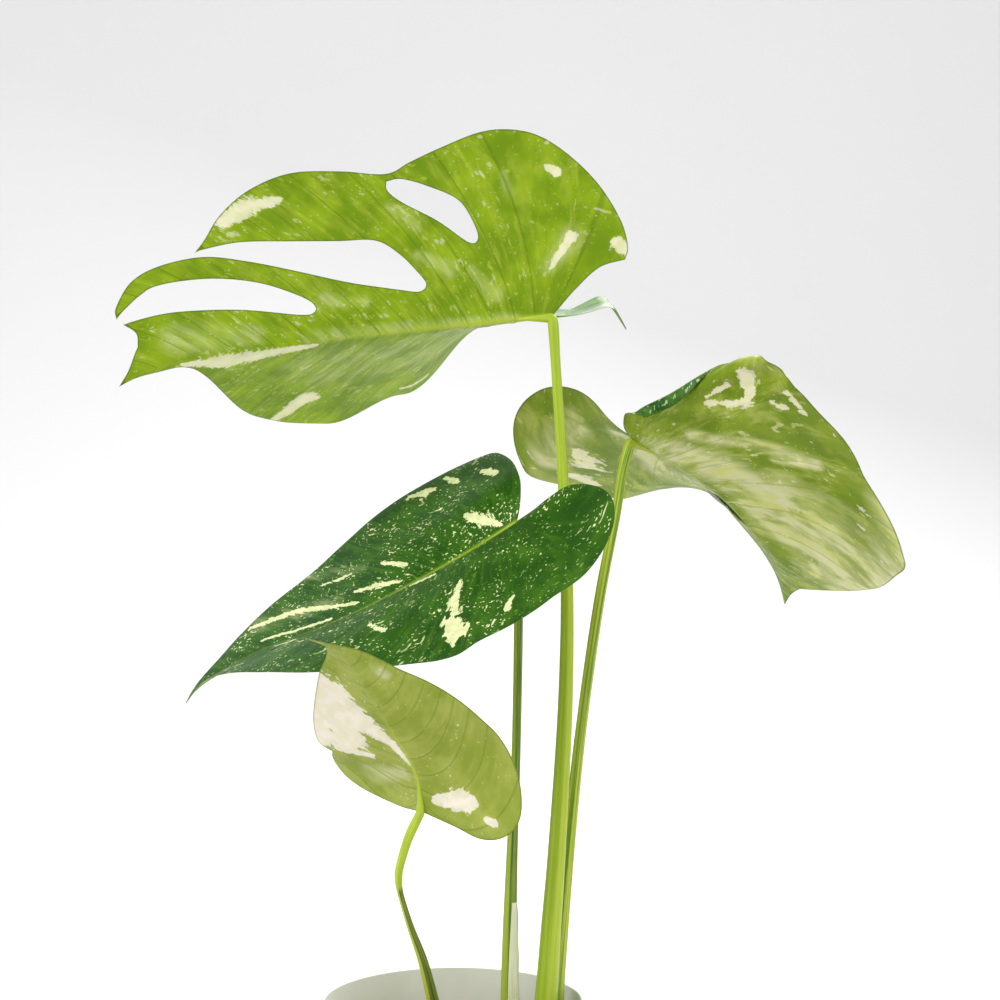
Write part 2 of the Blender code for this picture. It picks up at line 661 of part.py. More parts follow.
def main():
    clear_scene()
    stem_finish = material("stem_bark", (0.23, 0.30, 0.10), 0.6)
    stem_cutter = make_stem("stem_cutter", stem_finish, SEAT_GAP)
    make_pot()
    make_potting_mix(stem_cutter)
    make_stem("stem", stem_finish)
    blades = {
        "top_leaf": material("top_leaf_blade", (0.30, 0.46, 0.06), 0.45, 0.1),
        "right_leaf": material("right_leaf_blade", (0.34, 0.48, 0.13), 0.45, 0.1),
        "dark_leaf": material("dark_leaf_blade", (0.035, 0.16, 0.025), 0.35, 0.05),
        "small_leaf": material("small_leaf_blade", (0.38, 0.50, 0.16), 0.45, 0.1),
    }
    stalks = {
        "top_leaf": material("top_leaf_petiole", (0.34, 0.50, 0.09), 0.4),
        "right_leaf": material("right_leaf_petiole", (0.20, 0.38, 0.07), 0.4),
        "dark_leaf": material("dark_leaf_petiole", (0.08, 0.24, 0.04), 0.4),
        "small_leaf": material("small_leaf_petiole", (0.30, 0.46, 0.10), 0.4),
    }
    for name, leaf in LEAVES.items():
        make_blade(name + "_blade", leaf, blades[name])
        blade_cutter = make_blade(name + "_blade_cutter", leaf, blades[name], SEAT_GAP)
        make_stalk(name, leaf, stalks[name], (stem_cutter, blade_cutter))
    sheath_finish = material("leaf_sheath", (0.45, 0.55, 0.25), 0.5, 0.1)
    make_sheath(LEAVES["dark_leaf"], sheath_finish, stem_cutter)


main()
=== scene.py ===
import math
import random

import bpy
import numpy as np
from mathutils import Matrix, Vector, noise
from mathutils.geometry import delaunay_2d_cdt


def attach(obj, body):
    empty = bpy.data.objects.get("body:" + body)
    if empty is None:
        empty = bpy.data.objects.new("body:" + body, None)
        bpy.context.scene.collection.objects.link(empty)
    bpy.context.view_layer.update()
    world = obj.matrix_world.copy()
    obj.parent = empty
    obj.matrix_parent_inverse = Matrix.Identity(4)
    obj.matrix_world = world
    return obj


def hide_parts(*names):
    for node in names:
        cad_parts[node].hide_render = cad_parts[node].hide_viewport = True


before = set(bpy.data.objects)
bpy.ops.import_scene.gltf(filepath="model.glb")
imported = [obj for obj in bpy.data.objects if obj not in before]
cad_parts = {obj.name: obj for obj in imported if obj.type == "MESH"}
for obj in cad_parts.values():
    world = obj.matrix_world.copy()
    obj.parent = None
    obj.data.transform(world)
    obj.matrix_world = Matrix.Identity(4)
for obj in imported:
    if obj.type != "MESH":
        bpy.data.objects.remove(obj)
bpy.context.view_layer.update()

# ----------------------------------------------------------------------------------------------------
# Sizes, in metres unless a name or note says otherwise. Most repeat the CAD part's, because this script
# stands alone. The blades and the sheath are thinner here than in the CAD part, and round pieces have
# more sides.

MM = 0.001
POT_HEIGHT = 125 * MM
POT_RIM_DIAMETER = 140 * MM
POT_BASE_DIAMETER = 104 * MM
POT_WALL = 2.0 * MM
POT_FLOOR = 2.5 * MM
POT_RIM_BEAD = 0.9 * MM
POT_RIM_BEAD_HEIGHT = 5 * MM
POT_SIDES = 128
DRAIN_HOLES = 6
DRAIN_HOLE_TURN = 4  # degrees
DRAIN_HOLE_CIRCLE = 66 * MM
DRAIN_HOLE_DIAMETER = 8 * MM
MIX_BELOW_RIM = 22 * MM
MIX_TOP = POT_HEIGHT - MIX_BELOW_RIM
STEM_LENGTH = 84 * MM
STEM_RADIUS = 12 * MM
STEM_AXIS_BELOW_MIX = 3 * MM
STEM_WALL_CLEARANCE = 3 * MM
SHEATH_HEIGHT = 76 * MM
SHEATH_THICKNESS = 0.5 * MM
SHEATH_WING = 3.5 * MM
STALK_SIDES = 32
BLADE_GRID = 1.6  # millimetres between surface points
BLADE_HALF_THICKNESS = 0.26  # millimetres
MARGIN_HALF_THICKNESS = 0.10  # millimetres
CREASE_WIDTH = 3.0  # millimetres
STALK_SPACING = 1.6 * MM  # between a stalk's rings
# How a stalk's top runs out along the midrib: millimetres along it, then its depth and its radius as
# shares of the stalk's radius.
STALK_RUN_OUT = ((0.8, 1.0, 1.0), (4.5, 0.72, 0.86), (10, 0.46, 0.62), (16, 0.26, 0.38), (22, 0.08, 0.14))
SHEATH_COLUMNS = 14
DRAIN_CUTTER_SIDES = 24
DRAIN_CUTTER_OVERSHOOT = 5 * MM

# The picture: the camera looks level along +Y, and the lights are (name, place, target, size, power).
CAMERA_PLACE = (0.0249, -0.989, 0.3897)
CAMERA_LENS = 67.2  # millimetres, on a sensor 36 mm wide
LIGHTS = (
    ("key", (-1.1, -0.9, 1.7), (0, 0, 0.35), 1.2, 29),
    ("back", (0.5, 1.1, 1.6), (0, 0, 0.4), 1.2, 46),
    ("fill", (1.4, -1.2, 0.8), (0, 0, 0.35), 1.4, 9),
)
WORLD_STRENGTH = 0.94


def pot_outer_radius(z):
    return (POT_BASE_DIAMETER + (POT_RIM_DIAMETER - POT_BASE_DIAMETER) * z / POT_HEIGHT) / 2


CROWN = np.array([pot_outer_radius(MIX_TOP) - POT_WALL - STEM_WALL_CLEARANCE - STEM_LENGTH / 2, 0, MIX_TOP])

# ----------------------------------------------------------------------------------------------------
# The four leaves. Stalk points are millimetres from the crown, with the stalk's radius at each. Angles
# are degrees. Flat places on a blade are (along, out): along the midrib from the stalk, and out from it,
# left positive. "marks" are cream patches, and "pale" are soft whitish bands, partly the leaf's own pale
# streaks and partly painted whitish sheen; each is (along, out, radius) to (along, out, radius). Many of
# these numbers weren't chosen by hand. Scratch programs fitted the poses and bends by least squares, and
# worked out many outline points and patches through the bent surfaces; they were then rounded and partly
# changed.

LEAVES = {
    "top_leaf": {
        "stalk": [(26.5, 0, -3, 6.4), (27.2, -4, 10, 6.3), (29.3, -4, 24, 6), (32, 0, 60, 5.4),
                  (35.2, 4, 100, 4.8), (39.8, 9, 175, 4.0), (41, 13, 240, 3.4), (38.6, 15, 305, 2.9),
                  (36, 15, 345, 2.7), (34.4, 14.5, 370, 2.6), (33.7, 13.2, 380, 2.7)],
        "base": (33.4, 15, 386.2), "heading": 180, "pitch": -6, "roll": 44, "length": 236,
        "half_width": 116,
        "droop": [(-40, 0), (0, 0), (60, 1), (120, 4), (190, 5), (215, 14), (236, 40)],
        "sweep": [(-40, 0), (0, 0), (120, 2), (200, 0), (236, -8)],
        "rise_left": [(-40, 24, 20, 14), (0, 26, 22, 14), (110, 26, 22, 14), (180, 26, 22, 18),
                      (236, 26, 22, 18)],
        "rise_right": [(-40, 72, 60, 22), (0, 62, 50, 44), (35, 50, 50, 48), (85, 31, 30, 29),
                       (130, 24, 22, 14), (236, 20, 16, 10)],
        "left": [
            [(0, 0), (-13, 13), (-27, 24), (-41, 27)],
            [(-41, 27), (-43, 34), (-40, 49), (-30, 69), (-16, 86), (-1, 98), (14, 103), (30, 103),
             (51, 97), (68, 91), (81, 86), (104, 90), (129, 92), (150, 86), (166, 75), (176, 63),
             (182, 57)],
            [(182, 57), (177, 58), (159, 59), (134, 56), (109, 53), (90, 51), (78, 42), (68, 29), (66, 24),
             (70, 21), (80, 23), (106, 30), (131, 39), (156, 48), (178, 54), (200, 53), (213, 48),
             (221, 38), (222.5, 32)],
            [(222.5, 32), (219, 35), (211, 40), (202, 43), (177, 42), (153, 36), (133, 26), (126, 20),
             (127, 16), (135, 16), (165, 23), (196, 27), (221, 28)],
            [(221, 28), (217.5, 21), (219, 14)],
            [(219, 14), (227, 5), (236, 0)],
        ],
        "right": [
            [(0, 0), (-14, 6), (-30, 15), (-46, 26), (-54, 44), (-50, 66), (-34, 86), (-12, 99), (15, 105),
             (50, 108), (85, 108), (115, 104), (145, 95), (163, 83), (177, 64), (190, 20), (199, 6),
             (215, 4), (236, 0)],
        ],
        "hole": [(81, 82), (73, 82.5), (59, 77), (44, 68), (37, 54), (36, 46), (41, 45), (56, 58), (74, 70),
                 (81, 77)],
        "side_veins": 15, "rib": (1.9, 0.7), "vein_bend": 0.0024,
        "hanging": {"start": -28, "radius": 9, "turn": 60, "sink": 5.0},
        "marks": [(166, 71, 3.5, 152, 77, 5), (152, 77, 4, 136, 79, 2), (-1, 26, 1, -13, 42, 3),
                  (-4, 81, 2, -9, 78, 3), (-37, 36, 4, -41, 32, 3.5), (200, -3, 1.5, 176, -7, 7),
                  (176, -7, 6.5, 128, -3, 1.5), (160, -85, 2.5, 137, -66, 5.5),
                  (85, -95, 1.5, 71, -97, 1.5)],
        "pale": [(80, 68, 2, 68, 58, 3), (120, -30, 16, 70, -50, 14), (19, 80, 1.5, 17, 68, 2),
                 (41, 29, 2, 30, 15, 3), (68, 41, 2, 52, 31, 3), (0, 27, 3, -14, 42, 5),
                 (62, -41, 6, 20, -4, 4), (90, -26, 8, 50, -8, 5), (60, -60, 6, 30, -50, 8),
                 (130, 2, 3, 20, 1, 2), (120, 22, 3, 100, 18, 2), (200, 12, 6, 160, 8, 4)],
    },
    "right_leaf": {
        "stalk": [(34.5, 0, -3, 4.6), (34.6, 7.5, 9, 4.6), (35, 12, 22, 4.5), (37, 15, 45, 4.1),
                  (42.5, 17, 105, 3.4), (49, 18.5, 165, 3.0), (58.5, 20, 231, 2.9), (67.5, 21, 278, 2.7),
                  (71, 21, 300, 2.5), (74.2, 21.5, 313, 2.6)],
        "base": (77, 22, 320.3), "heading": 31, "pitch": -26, "roll": 32, "length": 184, "half_width": 98,
        "droop": [(-35, 30), (0, 0), (37, -3), (83, 13), (129, 26), (184, 34)],
        "sweep": [(-35, 0), (0, 0), (37, -15), (83, -21), (129, 36), (184, 22)],
        "rise_left": [(-35, 4, -35, -49), (0, -22, -50, -50), (37, -24, -34, -41), (83, 0, -7, -14),
                      (129, -8, -11, -10), (184, 10, -5, -9)],
        "rise_right": [(-35, 67, 75, 66), (0, 60, 60, 44), (37, 52, 54, 46), (83, 50, 49, 36),
                       (129, 46, 50, 48), (184, 58, 54, 52)],
        "left": [
            [(0, 0), (-15, 4), (-24, 14), (-27, 37), (-25, 62), (-15, 88), (6, 105), (28, 109), (50, 105),
             (75, 93), (100, 76), (125, 53), (146, 28), (163, 8), (184, 0)],
        ],
        "right": [
            [(0, 0), (-14, 7), (-26, 18), (-28, 38), (-27, 56), (-25, 70), (-17, 87), (-11, 98), (1, 106),
             (15, 107.5), (28, 110), (40, 108), (52, 103.5), (69, 100), (90, 90), (107, 79)],
            [(107, 79), (112, 76), (117, 67), (129, 54), (142, 41), (151, 24), (155, 12)],
            [(155, 12), (166, 6), (184, 0)],
        ],
        "side_veins": 12, "rib": (1.7, 0.5), "vein_bend": 0.0024,
        "rolled": {"width": 9.5, "radius": 3.4, "outs": (8, 20, 58, 80)},
        "crest": {"height": 3.6, "along": -17, "out": -80, "reach": 19},
        "marks": [(2, -84, 4, 22, -77, 4), (25, -75, 4, 7, -55, 3), (2, -56, 1.5, 3, -70, 1.5),
                  (36, -102, 2, 48, -96, 2), (36, -87, 2, 41, -90, 2), (4, 57, 4, 16, 71, 5),
                  (18, 92, 4, 25, 96, 3)],
        "pale": [(59, -53, 2, 67, -64, 3), (14, -8, 6, 50, -22, 9), (84, -30, 14, 122, -52, 16),
                 (50, -22, 6, 100, -40, 5), (60, -12, 4, 120, -22, 5), (0, 14, 5, 40, 30, 10),
                 (40, 30, 12, 110, 40, 14), (100, -88, 6, 118, -58, 6), (110, -50, 5, 140, -35, 5),
                 (20, -30, 3, 70, -70, 3), (-10, 40, 5, 0, 80, 6)],
    },
    "dark_leaf": {
        "stalk": [(9, 0, -3, 5.0), (9.4, -3, 10, 4.9), (9.8, -4, 24, 4.6), (10.2, -4, 60, 3.8),
                  (11.4, -4, 100, 3.0), (13.5, -3.5, 152, 2.4), (14.8, -4, 222, 2.4), (14.4, -5, 258, 2.4),
                  (13.6, -7, 268, 2.5)],
        "base": (13.9, -6, 275.6), "heading": 174, "pitch": -33, "roll": -26, "length": 214,
        "half_width": 90,
        "droop": [(-40, 34), (0, 0), (64, -6), (139, -9), (185, 5), (214, 30)],
        "sweep": [(-40, 11), (0, 0), (64, 2), (139, -10), (214, -19)],
        "rise_left": [(-40, -10, -19, -6), (0, 4, -8, -3), (64, 7, -5, -7), (139, 23, 7, 10),
                      (214, 40, 29, 20)],
        "rise_right": [(-40, 18, 2, 1), (0, 27, -3, 1), (64, 10, 4, 9), (139, 0, 5, 8), (214, 4, 0, 4)],
        "left": [
            [(0, 0), (-9, 0.5), (-20, 3), (-31, 14), (-37, 32), (-38, 50), (-32, 64), (-20, 77), (-10, 85),
             (6, 89), (24, 90), (42, 89), (54, 91), (64, 88), (81, 79), (109, 69), (124, 62), (142, 49),
             (162, 33), (181, 18), (194, 8), (214, 0)],
        ],
        "right": [
            [(0, 0), (-9, 16), (-16, 33), (-18, 58), (-9, 78), (4, 89), (23, 94), (47, 92), (68, 87),
             (91, 80), (115, 71), (148, 50), (173, 28), (194, 9), (214, 0)],
        ],
        "side_veins": 14, "rib": (1.8, 0.6), "vein_bend": 0.0026,
        "marks": [(23, -30, 1.5, 17, -17, 4.5), (17, -17, 4, 8, -4, 1), (49, -86, 2, 37, -81, 3),
                  (26, -87, 2, 21, -74, 2), (6, -68, 2, -1, -54, 2), (76, -33, 1.5, 64, -19, 1.5),
                  (97, -20, 1, 86, -16, 2.6), (86, -16, 2.6, 69, -7, 1), (66, 2, 1, 52, 5, 1.6),
                  (39, 29, 1, 47, 46, 3), (47, 46, 3.5, 48, 56, 3), (53, 62, 4, 50, 75, 5.5),
                  (54, 76, 3, 55, 82, 1.5), (166, -29, 1.5, 134, -27, 2.6), (134, -27, 2.4, 96, -8, 1),
                  (155, -10, 1.2, 113, -4, 1), (144, 4, 1, 133, 6, 1.6), (23, 75, 1.6, 17, 67, 1),
                  (90, 30, 1.2, 84, 42, 1.6), (120, -44, 1, 98, -40, 1.2)],
        "pale": [(130, -60, 3, 90, -40, 3), (160, -30, 6, 110, -20, 4)],
    },
    "small_leaf": {
        "stalk": [(-26, 0, -3, 3.8), (-27.5, -5, 10, 3.6), (-30, -13, 25, 3.2), (-35, -21, 48, 2.6),
                  (-41, -28, 67, 1.9), (-45.5, -35, 84.5, 1.6), (-46.5, -39, 93, 2.0),
                  (-45.7, -42.5, 101, 2.2), (-41.2, -48.5, 116, 2.3), (-36.2, -51.5, 127, 2.2)],
        "base": (-33.3, -52, 130), "heading": -102, "pitch": 70, "roll": -33, "length": 124,
        "half_width": 58,
        "droop": [(-15, -4), (0, 0), (43, 23), (87, 22), (124, 59)],
        "sweep": [(-15, 8), (0, 0), (43, -8), (87, -8), (124, -25)],
        "rise_left": [(-15, 12, 10, 16), (0, 15, 9, 22), (43, 29, 30, 19), (87, 25, 36, 32),
                      (124, 31, 33, 32)],
        "rise_right": [(-15, 5, 0, -2), (0, 3, -3, -6), (43, -9, -18, -6), (87, -1, -18, -14),
                       (124, 13, -2, -8)],
        "left": [
            [(0, 0), (-3, 18), (-5, 34), (-2, 48), (6, 56), (16, 58), (30, 56), (45, 51), (60, 44),
             (75, 34), (88, 23), (101, 13), (112, 5), (124, 0)],
        ],
        "right": [
            [(0, 0), (-3, 18), (-2, 38), (3, 55), (12, 60), (24, 57), (33, 52)],
            [(33, 52), (41, 57), (52, 53), (66, 44), (87, 28), (101, 15), (112, 5), (124, 0)],
        ],
        "side_veins": 12, "rib": (1.5, 0.4), "vein_bend": 0.02, "vein_turn": 24,
        "marks": [(84, -33, 10, 48, -52, 10), (74, -24, 9, 46, -34, 11), (58, -20, 9, 42, -7, 3.5),
                  (42, -7, 3.5, 28, -2, 1.2), (38, -44, 4, 31, -26, 2.4), (9, 9, 2.6, 11, 24, 5.5),
                  (11, 24, 5.5, 11, 31, 3), (5, 39, 2, 4, 43, 2)],
        "pale": [(91, 13, 2, 86, 15, 2), (20, -10, 3, 14, -34, 5)],
    },
}


# ----------------------------------------------------------------------------------------------------
# Curves and meshes

def smooth_curve(points, steps):
    """Points along a Catmull-Rom curve through the given points."""
    knots = np.array([2 * np.array(points[0]) - np.array(points[1])] + [np.array(p) for p in points]
                     + [2 * np.array(points[-1]) - np.array(points[-2])], float)
    curve = []
    for p, q, r, s in zip(knots, knots[1:], knots[2:], knots[3:]):
        for t in np.arange(steps) / steps:
            bend = (2 * p - 5 * q + 4 * r - s) * t * t + (3 * q - p - 3 * r + s) * t ** 3
            curve.append(0.5 * (2 * q + (r - p) * t + bend))
    curve.append(knots[-2])
    return np.array(curve)


def evenly(points, spacing):
    """The same curve with points about one spacing apart, its two ends kept."""
    run = np.concatenate([[0], np.cumsum(np.linalg.norm(np.diff(points[:, :3], axis=0), axis=1))])
    places = np.linspace(0, run[-1], max(2, round(run[-1] / spacing)) + 1)
    return np.stack([np.interp(places, run, points[:, k]) for k in range(points.shape[1])], 1)


def eased(stations, x):
    """The values at each x between (place, value, ...) stations, with smooth steps and flat ends."""
    table = np.array(stations, float)
    x = np.clip(x, table[0, 0], table[-1, 0])
    k = np.clip(np.searchsorted(table[:, 0], x, side="right") - 1, 0, len(table) - 2)
    t = (x - table[k, 0]) / (table[k + 1, 0] - table[k, 0])
    t = (t * t * (3 - 2 * t))[:, None]
    return table[k, 1:] * (1 - t) + table[k + 1, 1:] * t


def smoothstep(x, low, high):
    t = np.clip((x - low) / (high - low), 0, 1)
    return t * t * (3 - 2 * t)


def unit(rows):
    return rows / np.maximum(np.linalg.norm(rows, axis=-1, keepdims=True), 1e-12)


def ring_frames(path):
    """Two directions across the path at each of its points, turning as little as they can."""
    ahead = unit(np.gradient(path, axis=0))
    side = np.array([1.0, 0, 0]) if abs(ahead[0][0]) < 0.9 else np.array([0, 1.0, 0])
    across = []
    for heading in ahead:
        side = unit(side - heading * side.dot(heading))
        across.append(side)
    across = np.array(across)
    return across, np.cross(ahead, across)


def waves(points, size, seed):
    """Smooth noise between -1 and 1 at points in metres, with features about size metres wide."""
    shift = Vector((seed * 7.1, seed * 3.7, seed * 1.9))
    return np.array([noise.noise(Vector(p) / size + shift) for p in points])


def new_object(name, verts, faces, finishes, slots=None):
    mesh = bpy.data.meshes.new(name)
    mesh.from_pydata(np.asarray(verts).tolist(), [], faces)
    for finish in finishes:
        mesh.materials.append(finish)
    if slots is not None:
        mesh.polygons.foreach_set("material_index", np.asarray(slots, np.int32))
    mesh.update()
    mesh.shade_smooth()
    made = bpy.data.objects.new(name, mesh)
    bpy.context.scene.collection.objects.link(made)
    return made


def add_attribute(piece, name, values):
    """A number or a vector for each vertex, for the materials to read."""
    values = np.asarray(values, np.float32)
    if values.ndim == 1:
        attribute = piece.data.attributes.new(name, "FLOAT", "POINT")
        attribute.data.foreach_set("value", values)
    else:
        attribute = piece.data.attributes.new(name, "FLOAT_VECTOR", "POINT")
        attribute.data.foreach_set("vector", values.ravel())


def tube_faces(rings, sides):
    faces = []
    for ring in range(rings - 1):
        for k in range(sides):
            a = ring * sides + k
            b = ring * sides + (k + 1) % sides
            faces.append((a, b, b + sides, a + sides))
    return faces


def capped_tube_faces(rings, sides):
    last = (rings - 1) * sides
    return tube_faces(rings, sides) + [tuple(reversed(range(sides))), tuple(range(last, last + sides))]


# ----------------------------------------------------------------------------------------------------
# Materials

def rgb(red, green, blue):
    """A colour given as it looks on a screen, 0 to 255, as the linear colour that a shader wants."""
    linear = [c / 255 / 12.92 if c < 11 else ((c / 255 + 0.055) / 1.055) ** 2.4 for c in (red, green, blue)]
    return (*linear, 1.0)


LEAF_GAIN = (1.22, 1.08, 0.60)  # red, green and blue, for the studio's light on a leaf


def leaf_green(red, green, blue):
    """A leaf's green as it looks when brightly lit, as the linear colour that gives it under the studio's light."""
    return (*(part * gain for part, gain in zip(rgb(red, green, blue), LEAF_GAIN)), 1.0)


def shader_colours(look):
    """A look whose colours, given as they look on a screen, are the linear ones that a shader wants."""
    greens = {key: leaf_green(*look[key]) for key in ("base", "deep", "light", "vein", "rib", "edge")}
    return {**look, **greens, "cream": rgb(*look["cream"])}


class Paint:
    """One material and short names for the nodes in it."""

    def __init__(self, name):
        self.material = bpy.data.materials.new(name)
        self.material.use_nodes = True
        self.tree = self.material.node_tree
        self.shader = self.tree.nodes["Principled BSDF"]
        self.output = self.tree.nodes["Material Output"]

    def put(self, value, socket):
        if isinstance(value, bpy.types.NodeSocket):
            self.tree.links.new(value, socket)
        else:
            socket.default_value = value

    def attribute(self, name):
        node = self.tree.nodes.new("ShaderNodeAttribute")
        node.attribute_name = name
        return node.outputs

    def parts(self, vector):
        node = self.tree.nodes.new("ShaderNodeSeparateXYZ")
        self.put(vector, node.inputs[0])
        return node.outputs

    def vector(self, x, y, z):
        node = self.tree.nodes.new("ShaderNodeCombineXYZ")
        for value, socket in zip((x, y, z), node.inputs):
            self.put(value, socket)
        return node.outputs[0]

    def math(self, operation, a, b=0.0):
        node = self.tree.nodes.new("ShaderNodeMath")
        node.operation = operation
        self.put(a, node.inputs[0])
        self.put(b, node.inputs[1])
        return node.outputs[0]

    def times(self, a, b):
        return self.math("MULTIPLY", a, b)

    def plus(self, a, b):
        return self.math("ADD", a, b)

    def noise(self, vector, scale, detail=2.0, roughness=0.5, distortion=0.0):
        node = self.tree.nodes.new("ShaderNodeTexNoise")
        self.put(vector, node.inputs["Vector"])
        node.inputs["Scale"].default_value = scale
        node.inputs["Detail"].default_value = detail
        node.inputs["Roughness"].default_value = roughness
        node.inputs["Distortion"].default_value = distortion
        return node.outputs[0]

    def step(self, value, low, high, start=0.0, end=1.0):
        node = self.tree.nodes.new("ShaderNodeMapRange")
        node.interpolation_type = "SMOOTHSTEP"
        for wanted, socket in zip((value, low, high, start, end), node.inputs):
            self.put(wanted, socket)
        return node.outputs[0]

    def mix(self, share, a, b):
        node = self.tree.nodes.new("ShaderNodeMix")
        node.data_type = "RGBA"
        self.put(share, node.inputs[0])
        self.put(a, node.inputs[6])
        self.put(b, node.inputs[7])
        return node.outputs[2]

    def bump(self, height, distance, strength=1.0):
        node = self.tree.nodes.new("ShaderNodeBump")
        node.inputs["Strength"].default_value = strength
        node.inputs["Distance"].default_value = distance
        self.put(height, node.inputs["Height"])
        self.put(node.outputs[0], self.shader.inputs["Normal"])

    def surface(self, colour, roughness, specular=0.5):
        self.put(colour, self.shader.inputs["Base Color"])
        self.put(roughness, self.shader.inputs["Roughness"])
        self.shader.inputs["Specular IOR Level"].default_value = specular

    def let_light_through(self, colour, share):
        translucent = self.tree.nodes.new("ShaderNodeBsdfTranslucent")
        self.put(colour, translucent.inputs["Color"])
        both = self.tree.nodes.new("ShaderNodeMixShader")
        both.inputs[0].default_value = share
        self.tree.links.new(self.shader.outputs[0], both.inputs[1])
        self.tree.links.new(translucent.outputs[0], both.inputs[2])
        self.tree.links.new(both.outputs[0], self.output.inputs["Surface"])


# For each side of each blade: its colours; "streak" how close its streaks lie; "contrast" how strong they
# are; "wash" how strong the pale bands are, partly the leaf's own pale streaks and partly painted whitish
# sheen; "specks" and "dashes" how rare cream specks and dashes are, and "fleck" how strong; "veins" how
# strong the side veins' lines are; "rough" its roughness; "glow" the light that it lets through; "torn" how
# ragged the cream patches are and "solid" how strong. Colours are as they look on a screen, 0 to 255.
SHARED_LOOK = {"streak": 5.0, "torn": 1.0, "solid": 0.94}
LOOKS = {
    "top_leaf": {
        "upper": dict(SHARED_LOOK, base=(72, 128, 38), deep=(44, 96, 26), light=(120, 164, 66),
                      cream=(228, 230, 204), vein=(96, 146, 52), rib=(150, 184, 84), edge=(70, 112, 44),
                      contrast=0.5, wash=0.6, specks=0.63, dashes=0.63, fleck=0.7, veins=0.4, rough=0.34,
                      glow=0.3),
        "under": dict(SHARED_LOOK, base=(150, 184, 34), deep=(120, 160, 20), light=(196, 214, 104),
                      cream=(244, 236, 220), vein=(96, 128, 30), rib=(190, 210, 96), edge=(72, 104, 40),
                      streak=5.5, contrast=0.36, wash=0.45, specks=0.635, dashes=0.6, fleck=0.45, veins=0.5,
                      rough=0.42, glow=0.42, torn=0.65, solid=0.82),
    },
    "right_leaf": {
        "upper": dict(SHARED_LOOK, base=(44, 96, 34), deep=(26, 72, 24), light=(96, 146, 62),
                      cream=(226, 228, 200), vein=(80, 130, 50), rib=(150, 184, 84), edge=(50, 90, 36),
                      contrast=0.5, wash=0.4, specks=0.58, dashes=0.6, fleck=0.85, veins=0.4, rough=0.34,
                      glow=0.25),
        "under": dict(SHARED_LOOK, base=(136, 164, 54), deep=(112, 144, 38), light=(202, 214, 150),
                      cream=(240, 232, 212), vein=(110, 138, 50), rib=(178, 200, 100), edge=(80, 108, 50),
                      streak=2.6, contrast=0.5, wash=1.0, specks=0.65, dashes=0.62, fleck=0.5, veins=0.35,
                      rough=0.42, glow=0.4, torn=1.25, solid=0.84),
    },
    "dark_leaf": {
        "upper": dict(SHARED_LOOK, base=(38, 86, 14), deep=(21, 66, 9), light=(72, 122, 30),
                      cream=(226, 228, 176), vein=(54, 106, 26), rib=(132, 164, 50), edge=(44, 80, 38),
                      contrast=0.35, wash=0.35, specks=0.605, dashes=0.625, fleck=0.92, veins=0.25,
                      rough=0.4, glow=0.14),
        "under": dict(SHARED_LOOK, base=(120, 156, 62), deep=(92, 132, 44), light=(160, 184, 104),
                      cream=(230, 226, 206), vein=(96, 130, 50), rib=(166, 190, 96), edge=(74, 104, 50),
                      contrast=0.4, wash=0.5, specks=0.6, dashes=0.6, fleck=0.6, veins=0.4, rough=0.46,
                      glow=0.25),
    },
    "small_leaf": {
        "upper": dict(SHARED_LOOK, base=(84, 130, 44), deep=(60, 108, 32), light=(124, 162, 72),
                      cream=(240, 236, 226), vein=(104, 146, 58), rib=(160, 188, 90), edge=(84, 120, 50),
                      streak=4.0, contrast=0.4, wash=0.5, specks=0.62, dashes=0.66, fleck=0.8, veins=0.4,
                      rough=0.34, glow=0.3),
        "under": dict(SHARED_LOOK, base=(166, 184, 112), deep=(144, 168, 80), light=(194, 206, 146),
                      cream=(246, 238, 228), vein=(108, 134, 46), rib=(192, 210, 84), edge=(96, 118, 56),
                      streak=3.0, contrast=0.25, wash=0.6, specks=0.665, dashes=0.7, fleck=0.75, veins=0.42,
                      rough=0.46, glow=0.4, torn=0.55, solid=0.97),
    },
}


